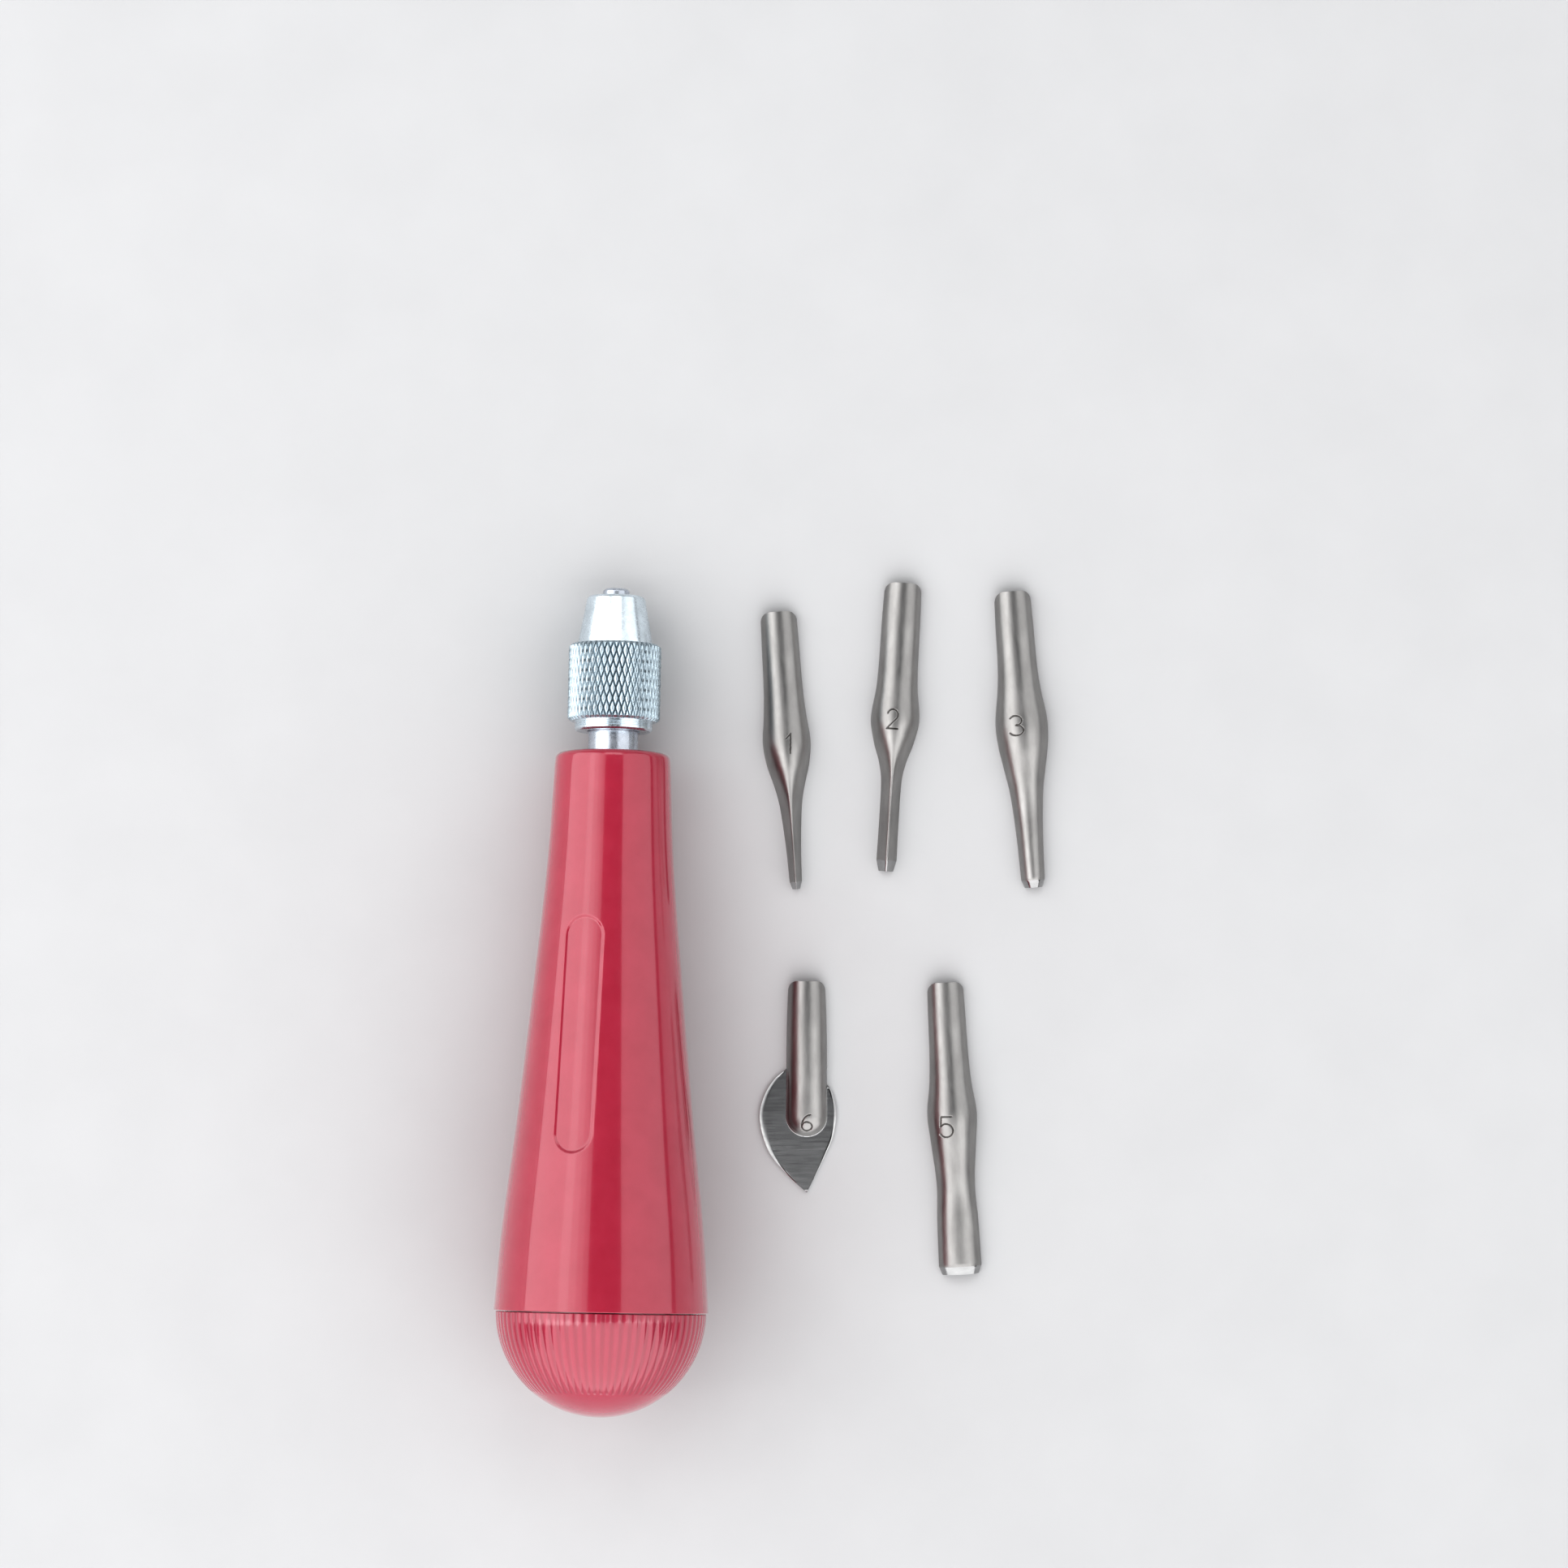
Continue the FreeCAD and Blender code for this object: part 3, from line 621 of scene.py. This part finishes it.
def knife(node):
    """A leaf-shaped blade with a half-round shank pressed up out of it."""
    before_blade = KNIFE_LEFT[0][0] - 0.5
    rows = graded(END_CORNER, (before_blade, 0.5), (KNIFE_FINE[0], 0.2), (KNIFE_FINE[1], 0.06),
                  (KNIFE_LENGTH, 0.4))
    middle = [math.cos(math.pi * k / KNIFE_COLUMNS) for k in range(KNIFE_COLUMNS + 1)]
    outer, inner, grooves = [], [], []
    for t in end_rows() + rows:
        half_width = between(KNIFE_SHANK, min(t, KNIFE_ROUND))[0]
        limit = min(half_width, end_limit(t, KNIFE_SHANK[0][1]))
        right, left = knife_side(KNIFE_RIGHT, t, limit), knife_side(KNIFE_LEFT, t, limit)
        xs = knife_flange(*right[:2])[::-1]
        xs += [right[1] * c if c > 0 else left[1] * c for c in middle]
        xs += [-x for x in knife_flange(*left[:2])]
        row, under, cuts = [], [], []
        for i, x in enumerate(xs):
            plate = right[2] if x > 0 else left[2]
            z = knife_surface(x, t, plate)
            if i in (0, len(xs) - 1):
                z -= min(KNIFE_RIM_DROP, KNIFE_RIM_PART * plate)
            sunk = stamped(KNIFE_FIGURE, x, t)
            row.append((x, -t, z - sunk))
            under.append((x, -t, min(shank_height(x, t, SHEET), z - sunk)))
            cuts.append(sunk / FIGURE_DEPTH)
        outer.append(row)
        inner.append(under)
        grooves.append(cuts)
    return set_in_box(shell(blade_name(node), outer, inner, grooves, Matrix.Identity(4)), node)


# ---------------------------------------------------------------- handle, cap and chuck
def tool_frame():
    """The tool's own frame: origin on the handle's front face, +Y towards the nose."""
    socket = next(m for m in frame["record"]["mounts"] if m["name"] == "chuck_socket")
    along = Vector(socket["axis"]).normalized()
    across = along.cross(Vector((0, 0, 1))).normalized()
    up = across.cross(along)
    origin = Vector(socket["pos_m"]) - along * NOSE_END * MM
    return Matrix.Translation(origin) @ Matrix((across, along, up)).transposed().to_4x4()


def handle_radius(distance):
    """Radius of the handle's flared outside."""
    return between(HANDLE_RADII, distance)[0]


def panel_depth(distance, angle):
    """Depth of the shallow round-ended panel at a point of the handle's surface."""
    half = PANEL_WIDTH / 2
    turned = angle + math.radians(PANEL_ROLL)
    if math.cos(turned) < 0:
        return 0.0
    aside = handle_radius(distance) * math.sin(turned)
    middle = min(max(distance, PANEL_FRONT + half), PANEL_FRONT + PANEL_LENGTH - half)
    away = math.hypot(aside, distance - middle)
    return PANEL_DEPTH * (1 - eased(away, half - PANEL_SLOPE, half))


def cap_thread(distance, angle, first, last, shift=0.0):
    """Depth of the cap's coarse thread, which runs out at both its ends, first and last. shift moves
    its turns forward."""
    turn = ((distance + shift) / CAP_PITCH + angle / (2 * math.pi)) % 1.0
    ends = eased(distance, first, first + CAP_RUN_OUT) * (1 - eased(distance, last - CAP_RUN_OUT, last))
    return CAP_THREAD * ends * eased(abs(turn - 0.5), *CAP_FLANK)


def handle_cut(radius, y, angle):
    """Depth of the panel in the handle's side. The thread is cut outwards into its socket's wall, so
    its depth is negative."""
    distance = -y
    if distance > SOCKET_FLOOR and abs(radius - SOCKET_RADIUS) < NEAR:
        first, last = SOCKET_FLOOR + CAP_MARGIN, HANDLE_LENGTH - CAP_MARGIN
        return -cap_thread(distance, angle, first, last, CAP_PITCH / 2)
    if abs(radius - handle_radius(distance)) < NEAR:
        return panel_depth(distance, angle)
    return 0.0


def handle_piece(place):
    """Handle with its panel, storage hollow, cap socket and the hole that holds the stud."""
    front, rear = PANEL_FRONT, PANEL_FRONT + PANEL_LENGTH
    outside, inside = PANEL_MARGIN, PANEL_MARGIN + PANEL_WIDTH / 2
    rows = graded(FRONT_ROUND, (front - outside, 0.7), (front + inside, 0.14), (rear - inside, 0.8),
                  (rear + outside, 0.14), (HANDLE_LENGTH - REAR_CHAMFER, 0.7))
    flat = HANDLE_RADII[0][1] - FRONT_ROUND
    wall = graded(HANDLE_LENGTH - 2 * SOCKET_CHAMFER, (SOCKET_FLOOR + SOCKET_CORNER, CAP_ROW))
    outline = list(STUD_HOLE)
    outline += [(flat + FRONT_ROUND * math.sin(a), FRONT_ROUND * (1 - math.cos(a))) for a in quarter(8)]
    outline += [(handle_radius(d), d) for d in rows[1:]]
    outline += [(handle_radius(HANDLE_LENGTH) - REAR_CHAMFER, HANDLE_LENGTH)]
    outline += [(SOCKET_RADIUS + SOCKET_CHAMFER, HANDLE_LENGTH)]
    outline += [(SOCKET_RADIUS, HANDLE_LENGTH - SOCKET_CHAMFER)]
    outline += [(SOCKET_RADIUS, d) for d in wall[:-1]]
    outline += rounded([(SOCKET_RADIUS, wall[-1]), (SOCKET_RADIUS, SOCKET_FLOOR)] + STORAGE, STORAGE_ROUND)
    span = math.radians(PANEL_SPAN)
    angles = graded(-span, (span, math.radians(0.75)), (2 * math.pi - span, math.radians(2.5)))[:-1]
    angles = [angle - math.radians(PANEL_ROLL) for angle in angles]
    return welded(lathe("handle_shell", [(r, -d) for r, d in outline], place, angles, handle_cut))


def cap_cut(radius, y, angle):
    """Depth of the thread on the cap's spigot, and of the valleys between its grip ribs, which run
    out before the pole."""
    behind = -y - HANDLE_LENGTH
    if behind < SEAM_GAP / 2:
        if abs(radius - SPIGOT_RADIUS) > NEAR:
            return 0.0
        first = HANDLE_LENGTH - SPIGOT_LENGTH + CAP_MARGIN
        return cap_thread(-y, angle, first, HANDLE_LENGTH - CAP_SEAM_MARGIN)
    if math.hypot(radius, behind) < CAP_RADIUS - 2 * CAP_EDGE:
        return 0.0
    from_seam = math.degrees(math.atan2(behind, radius))
    fade = 1 - eased(from_seam, *RIB_FADE)
    phase = (angle * CAP_RIBS / (2 * math.pi) + RIB_PHASE) % 1.0
    crest = eased(abs(phase - 0.5), RIB_FOOT, RIB_CREST)
    return RIB_HEIGHT * fade * (1 - crest)


def cap_piece(place):
    """Domed cap with its hollow, threaded spigot and ribs."""
    seam = HANDLE_LENGTH
    front = seam - SPIGOT_LENGTH
    outline = [
        (CAP_HOLLOW_RADIUS * math.sin(a), seam + CAP_HOLLOW_DEPTH * math.cos(a)) for a in quarter(14)
    ]
    outline += [(CAP_HOLLOW_RADIUS, front + CAP_HOLLOW_CHAMFER)]
    outline += [(CAP_HOLLOW_RADIUS + CAP_HOLLOW_CHAMFER, front)]
    outline += [(SPIGOT_RADIUS - SPIGOT_CHAMFER, front), (SPIGOT_RADIUS, front + SPIGOT_CHAMFER)]
    outline += [(SPIGOT_RADIUS, d) for d in graded(front + SPIGOT_CHAMFER + 0.2, (seam, CAP_ROW))]
    outline += [(SPIGOT_RADIUS + SEAM_STEP, seam), (SPIGOT_RADIUS + SEAM_STEP, seam + SEAM_GAP)]
    outline += [(CAP_RADIUS - CAP_EDGE, seam + SEAM_GAP)]
    for degrees in graded(DOME_START, (RIB_FADE[0] - 0.5, 2.0), (RIB_FADE[1] + 1.0, 0.4), (90, 3.0)):
        a = math.radians(degrees)
        outline.append((CAP_RADIUS * math.cos(a), seam + CAP_RADIUS * math.sin(a)))
    angles = ring(CAP_RIBS * RIB_STEPS)
    return lathe("cap_shell", [(r, -d) for r, d in outline], place, angles, cap_cut, RIB_HEIGHT)


def knurl(radius, y, angle):
    """Depth of the diamond knurl pressed into the collar: crowned pyramids."""
    if radius < KNURL_ROOT or not KNURL_REAR <= y <= KNURL_FRONT:
        return 0.0
    u = angle * KNURL_COUNT / (2 * math.pi)
    v = (y - KNURL_REAR) / (KNURL_FRONT - KNURL_REAR) * KNURL_LENGTHS
    ridges = [1 - abs(2 * ((u + v) % 1.0) - 1), 1 - abs(2 * ((u - v) % 1.0) - 1)]
    return KNURL_DEPTH * (1 - min(ridges)) ** KNURL_CROWN


def collar_piece(place):
    """Screw collar: band with turned rings, knurled grip, nose cone and bore, in one piece."""
    chamfer = [(BAND_RADIUS - BAND_CHAMFER, COLLAR_REAR), (BAND_RADIUS, COLLAR_REAR + BAND_CHAMFER)]
    rear = rounded(COLLAR_CLEARANCE + chamfer, COLLAR_ROUND)
    for along in BAND_RINGS:
        y = COLLAR_REAR + along
        rear += [(BAND_RADIUS, y - RING_HALF), (BAND_RADIUS - RING_DEPTH, y), (BAND_RADIUS, y + RING_HALF)]
    rear.append((BAND_RADIUS, KNURL_REAR - COLLAR_STEP))
    rows = KNURL_LENGTHS * KNURL_STEPS
    grip = []
    for k in range(rows + 1):
        y = KNURL_REAR + (KNURL_FRONT - KNURL_REAR) * k / rows
        drop = max(0.0, KNURL_BEVEL - min(y - KNURL_REAR, KNURL_FRONT - y))
        grip.append((KNURL_RADIUS - drop * drop / KNURL_BEVEL, y))
    nose = rounded(COLLAR_CONE + COLLAR_MOUTH + COLLAR_BORE, COLLAR_ROUND)
    knurled = (len(rear), len(rear) + rows)
    angles = ring(KNURL_COUNT * KNURL_STEPS)
    return lathe("collar_shell", rear + grip + nose, place, angles, knurl, KNURL_DEPTH, knurled)


def thread(radius, y, angle):
    """Depth of the thread cut into the stud."""
    if not THREAD_START <= y <= STUD_END - STUD_CHAMFER:
        return 0.0
    tooth = abs(2 * ((y / THREAD_PITCH - angle / (2 * math.pi)) % 1.0) - 1)
    run_out = eased(y, THREAD_START, THREAD_START + THREAD_RUN_OUT)
    return THREAD_DEPTH * run_out * min(1.0, max(0.0, THREAD_FLANK * (1 - tooth) - THREAD_CREST))


def stud_piece(place):
    """Stud with its plain shank, its thread, and a cup in its front end for the ball."""
    outline = rounded([*STUD_SHANK, (THREAD_RADIUS, THREAD_START + 0.1)], PART_ROUND)
    rows = graded(THREAD_START + 0.2, (STUD_END - STUD_CHAMFER, 0.08))
    outline += [(THREAD_RADIUS, y) for y in rows[:-1]]
    outline += [(THREAD_RADIUS - STUD_CHAMFER, STUD_END), (STUD_CUP, STUD_END), (0, STUD_END - STUD_CUP)]
    return lathe("stud_turned", outline, place, ring(PART_COLUMNS), thread, THREAD_DEPTH)


def jaw_piece(place):
    """Jaw with the tapered pin whose tip shows in the nose."""
    return lathe("jaw_pin", rounded(JAW, PART_ROUND), place, ring(PART_COLUMNS))


# ---------------------------------------------------------------- materials
def new_material(name):
    """A node material, its tree and its shader."""
    material = bpy.data.materials.new(name)
    material.use_nodes = True
    tree = material.node_tree
    return material, tree, tree.nodes["Principled BSDF"]


def give(tree, node, **values):
    """Sets a node's properties, or its inputs by name with _ for a space, and links an output that
    is given for an input."""
    for key, value in values.items():
        if hasattr(node, key):
            setattr(node, key, value)
        elif isinstance(value, bpy.types.NodeSocket):
            tree.links.new(value, node.inputs[key.replace("_", " ")])
        else:
            node.inputs[key.replace("_", " ")].default_value = value


def add(tree, kind, **values):
    """A new node of this kind, with these values."""
    node = tree.nodes.new(kind)
    give(tree, node, **values)
    return node


def grain(tree, scale, stretch=(1, 1, 1), detail=3.0, roughness=0.55):
    """Noise in the piece's own frame, stretched; returns its output from 0 to 1."""
    where = add(tree, "ShaderNodeTexCoord")
    place = add(tree, "ShaderNodeMapping", Scale=stretch, Vector=where.outputs["Object"])
    noise = add(tree, "ShaderNodeTexNoise", Scale=scale, Detail=detail, Roughness=roughness,
                Vector=place.outputs["Vector"])
    return noise.outputs["Fac"]


def ramp(tree, source, *stops):
    """Colours or greys along a 0 to 1 source, from stops of (place, colour or grey)."""
    node = add(tree, "ShaderNodeValToRGB", Fac=source)
    elements = node.color_ramp.elements
    while len(elements) < len(stops):
        elements.new(0.5)
    for element, (spot, tone) in zip(elements, stops):
        element.position = spot
        element.color = (*tone, 1) if isinstance(tone, tuple) else (tone, tone, tone, 1)
    return node.outputs["Color"]


def bumps(tree, *layers):
    """A normal bent by stacked layers of (height source, distance in metres, strength)."""
    normal = None
    for source, distance, strength in layers:
        node = add(tree, "ShaderNodeBump", Distance=distance, Strength=strength, Height=source)
        if normal:
            give(tree, node, Normal=normal)
        normal = node.outputs["Normal"]
    return normal


def shade_in_grooves(tree, colour, groove_shade):
    """Painted shade: a colour that turns darker, to the given shade, where the mesh says that it lies in a
    groove.
    """
    depth = add(tree, "ShaderNodeAttribute", attribute_name="groove")
    mix = add(tree, "ShaderNodeMix", data_type="RGBA", Factor=depth.outputs["Fac"], A=colour, B=(*groove_shade, 1))
    return mix.outputs["Result"]


def plastic(name, colour, deep):
    """Glossy moulded plastic: faint clouding, a few long handling scratches, painted shade in the valleys.
    """
    material, tree, shader = new_material(name)
    body = ramp(tree, grain(tree, 260, detail=4), (0.3, deep), (0.7, colour))
    haze = ramp(tree, grain(tree, 900, detail=4), (0.3, 0.13), (0.75, 0.22))
    scratches = ramp(tree, grain(tree, 700, (1, 0.04, 1), 5, 0.7), (0.67, 0.0), (0.72, 1.0))
    waves = grain(tree, 120, detail=1)
    # Valleys between the cap's ribs get painted shade, darker than the deep tone.
    give(tree, shader, Base_Color=shade_in_grooves(tree, body, tuple(c * 0.9 for c in deep)), Roughness=haze,
         Normal=bumps(tree, (scratches, 0.000004, 0.25), (waves, 0.00006, 0.25)), IOR=1.58,
         Subsurface_Weight=0.12, Subsurface_Radius=(1.0, 0.25, 0.25), Subsurface_Scale=0.0015,
         Coat_Weight=0.9, Coat_Roughness=0.06)
    return material


def zinc(name, colour, shade, lines, rough):
    """Bright zinc plate over turned steel: fine rings round the local Y axis, and painted shade in its
    grooves.
    """
    material, tree, shader = new_material(name)
    dim = tuple(c * 0.86 for c in colour)
    plate = ramp(tree, grain(tree, 700, detail=5), (0.35, dim), (0.65, colour))
    worn = ramp(tree, grain(tree, 2600, detail=4), (0.3, rough * 0.8), (0.7, rough * 1.25))
    turned = add(tree, "ShaderNodeTangent", direction_type="RADIAL", axis="Y")
    rings = grain(tree, lines, (0.0, 1.0, 0.0), 3, 0.7)
    pits = grain(tree, 9000, detail=3)
    give(tree, shader, Metallic=1.0, Base_Color=shade_in_grooves(tree, plate, shade), Roughness=worn,
         Anisotropic=0.45, Anisotropic_Rotation=0.25, Tangent=turned.outputs["Tangent"],
         Normal=bumps(tree, (rings, 0.00001, 0.5), (pits, 0.000004, 0.3)))
    return material


def spring_steel(name):
    """Satin hardened sheet: faint drawing lines along local Y, slight heat mottling, and painted shade in
    the stamped figures.
    """
    material, tree, shader = new_material(name)
    mottle = ramp(tree, grain(tree, 420, (1, 0.4, 1), 5), (0.3, STEEL_DULL), (0.7, STEEL))
    satin = ramp(tree, grain(tree, 3000, (1, 0.2, 1), 4), (0.3, 0.31), (0.75, 0.40))
    drawn = grain(tree, 2500, (1, 0.03, 1), 4)
    give(tree, shader, Metallic=1.0, Base_Color=shade_in_grooves(tree, mottle, STEEL_STAMP_SHADE), Roughness=satin,
         Anisotropic=0.25, Normal=bumps(tree, (drawn, 0.000004, 0.1)))
    return material


def ground_steel(name):
    """Ground steel of the bevels and the knife's blade: smooth, with fine lines across, and painted shade
    in any stamped figure.
    """
    material, tree, shader = new_material(name)
    tone = ramp(tree, grain(tree, 900, (0.3, 1, 1), 4), (0.3, GROUND_DULL), (0.7, GROUND))
    fine = ramp(tree, grain(tree, 4000, (0.05, 1, 1), 4), (0.3, 0.15), (0.7, 0.21))
    lines = grain(tree, 4000, (0.03, 1, 1), 4)
    give(tree, shader, Metallic=1.0, Base_Color=shade_in_grooves(tree, tone, STEEL_STAMP_SHADE), Roughness=fine,
         Normal=bumps(tree, (lines, 0.000003, 0.2)))
    return material


def bearing_steel(name):
    """Polished hard steel with a faint haze."""
    material, tree, shader = new_material(name)
    give(tree, shader, Metallic=1.0,
         Base_Color=ramp(tree, grain(tree, 900), (0.3, BALL_DULL), (0.7, BALL)),
         Roughness=ramp(tree, grain(tree, 3000), (0.3, 0.06), (0.7, 0.12)))
    return material


def beyond_lights(tree):
    """Strength of the floor's own glow: none between the softboxes, and full behind them, where
    their light doesn't reach."""
    where = add(tree, "ShaderNodeTexCoord")
    parts = add(tree, "ShaderNodeSeparateXYZ", Vector=where.outputs["Object"])
    farther = add(tree, "ShaderNodeMath", operation="MAXIMUM")
    for i, axis in enumerate("XY"):
        away = add(tree, "ShaderNodeMath", operation="ABSOLUTE")
        tree.links.new(parts.outputs[axis], away.inputs[0])
        tree.links.new(away.outputs[0], farther.inputs[i])
    share = add(tree, "ShaderNodeMath", operation="DIVIDE")
    share.inputs[1].default_value = GLOW_REACH
    tree.links.new(farther.outputs[0], share.inputs[0])
    return ramp(tree, share.outputs[0], *[(away / GLOW_REACH, strength) for away, strength in GLOW])


def floor_material(name):
    """Pale matt board that glows a little beyond the lights."""
    material, tree, shader = new_material(name)
    board = ramp(tree, grain(tree, 60, detail=5), (0.3, FLOOR_DULL), (0.7, FLOOR))
    tooth = grain(tree, 1800, detail=4)
    give(tree, shader, Base_Color=board, Roughness=0.9, Normal=bumps(tree, (tooth, 0.00003, 0.2)),
         Emission_Color=(1, 1, 1, 1), Emission_Strength=beyond_lights(tree))
    return material


# ---------------------------------------------------------------- build
def shown(piece, body, node, slot, *materials):
    """One finished piece: its materials, the body it rides on and the CAD node it stands for."""
    for material in materials:
        piece.data.materials.append(material)
    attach(piece, body)
    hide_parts(node)


def in_second(piece, holds):
    """Gives the second material to the faces where holds(x, y, z) is true of their middle."""
    for face in piece.data.polygons:
        face.material_index = int(holds(*(face.center / MM)))
    return piece


def is_knurl(x, y, z):
    return KNURL_REAR < y < KNURL_FRONT and math.hypot(x, z) > KNURL_ROOT


def is_blade(x, y, z):
    return -y > KNIFE_LEFT[0][0] and z < KNIFE_FLAT


TOOL = tool_frame()
steel = spring_steel("cutter_steel")
ground = ground_steel("cutter_ground")
shown(handle_piece(TOOL), "handle", "handle_body", "handle_plastic",
      plastic("handle_plastic", HANDLE_RED, HANDLE_DEEP))
shown(cap_piece(TOOL), "cap", "end_cap", "cap_plastic",
      plastic("cap_plastic", CAP_RED, CAP_DEEP))
# The knurl gets a darker copy of the collar's zinc, and both get painted shade in their grooves.
shown(in_second(collar_piece(TOOL), is_knurl), "collar", "chuck_collar", "collar_steel",
      zinc("collar_zinc", COLLAR_ZINC, COLLAR_GROOVE_SHADE, 9000, 0.24),
      zinc("knurl_zinc", KNURL_ZINC_SHADED, KNURL_GROOVE_SHADE, 5000, 0.27))
zinc_plate = zinc("stud_zinc", STUD_ZINC, STUD_GROOVE_SHADE, 7000, 0.28)
shown(stud_piece(TOOL), "handle", "chuck_stud", "stud_steel", zinc_plate)
shown(jaw_piece(TOOL), "jaw", "chuck_jaw", "stud_steel", zinc_plate)
for node, shape in GOUGES.items():
    bevel_start = shape["stations"][-1][0] - shape["bevel"]
    blade = in_second(gouge(node, **shape), lambda x, y, z: -y > bevel_start)
    shown(blade, node, node, "cutter_steel", steel, ground)
shown(in_second(knife("cutter_6"), is_blade), "cutter_6", "cutter_6", "cutter_steel", steel, ground)
ball = frame["nodes"]["chuck_ball"]
ball.data.materials.clear()
ball.data.materials.append(bearing_steel("ball_steel"))


# ---------------------------------------------------------------- floor, light and camera
def floor():
    """A pale board under everything, larger than any view."""
    half = FLOOR_HALF
    corners = [(-half, -half, 0), (half, -half, 0), (half, half, 0), (-half, half, 0)]
    mesh = bpy.data.meshes.new("floor")
    mesh.from_pydata(corners, [], [(0, 1, 2, 3)])
    mesh.materials.append(floor_material("floor_pale"))
    placed("floor", mesh, Matrix.Identity(4))


def softbox(name, corner, side, down, radiance):
    """A flat light: the rectangle from `corner` along `side` and `down`, facing the set."""
    corner, side, down = Vector(corner), Vector(side), Vector(down)
    lamp = bpy.data.lights.new(name, "AREA")
    lamp.shape = "RECTANGLE"
    lamp.size, lamp.size_y = side.length, down.length
    lamp.energy = radiance * side.length * down.length * math.pi
    middle = corner + side / 2 + down / 2
    x, y = side.normalized(), down.normalized()
    if x.cross(y).dot(middle) < 0:
        y = -y
    turn = Matrix((x, y, x.cross(y))).transposed().to_4x4()
    placed(name, lamp, Matrix.Translation(middle) @ turn).visible_camera = False


def left_light():
    """The left softbox, as strips of different radiance side by side."""
    corner, down = Vector(LEFT_CORNER), Vector(LEFT_DOWN)
    for k, (start, end, radiance) in enumerate(LEFT_STRIPS):
        softbox(f"box_left_{k}", corner + down * start, LEFT_SIDE, down * (end - start), radiance)


def world(colour):
    """The even light of the studio's walls."""
    sky = bpy.data.worlds.new("studio")
    sky.use_nodes = True
    give(sky.node_tree, sky.node_tree.nodes["Background"], Color=(*colour, 1), Strength=1.0)
    bpy.context.scene.world = sky


def camera():
    """Straight above the set, level with the page."""
    lens = bpy.data.cameras.new("camera")
    lens.sensor_width = SENSOR
    lens.lens = SENSOR * CAMERA_HEIGHT / VIEW_WIDTH
    lens.clip_start, lens.clip_end = 0.01, 20
    place = Matrix.Translation((*CAMERA_ASIDE, CAMERA_HEIGHT))
    bpy.context.scene.camera = placed("camera", lens, place)


floor()
left_light()
for name, box in SOFTBOXES.items():
    softbox(name, *box)
world(SKY)
camera()
bpy.context.scene.view_settings.view_transform = "Standard"
bpy.context.scene.view_settings.gamma = VIEW_GAMMA
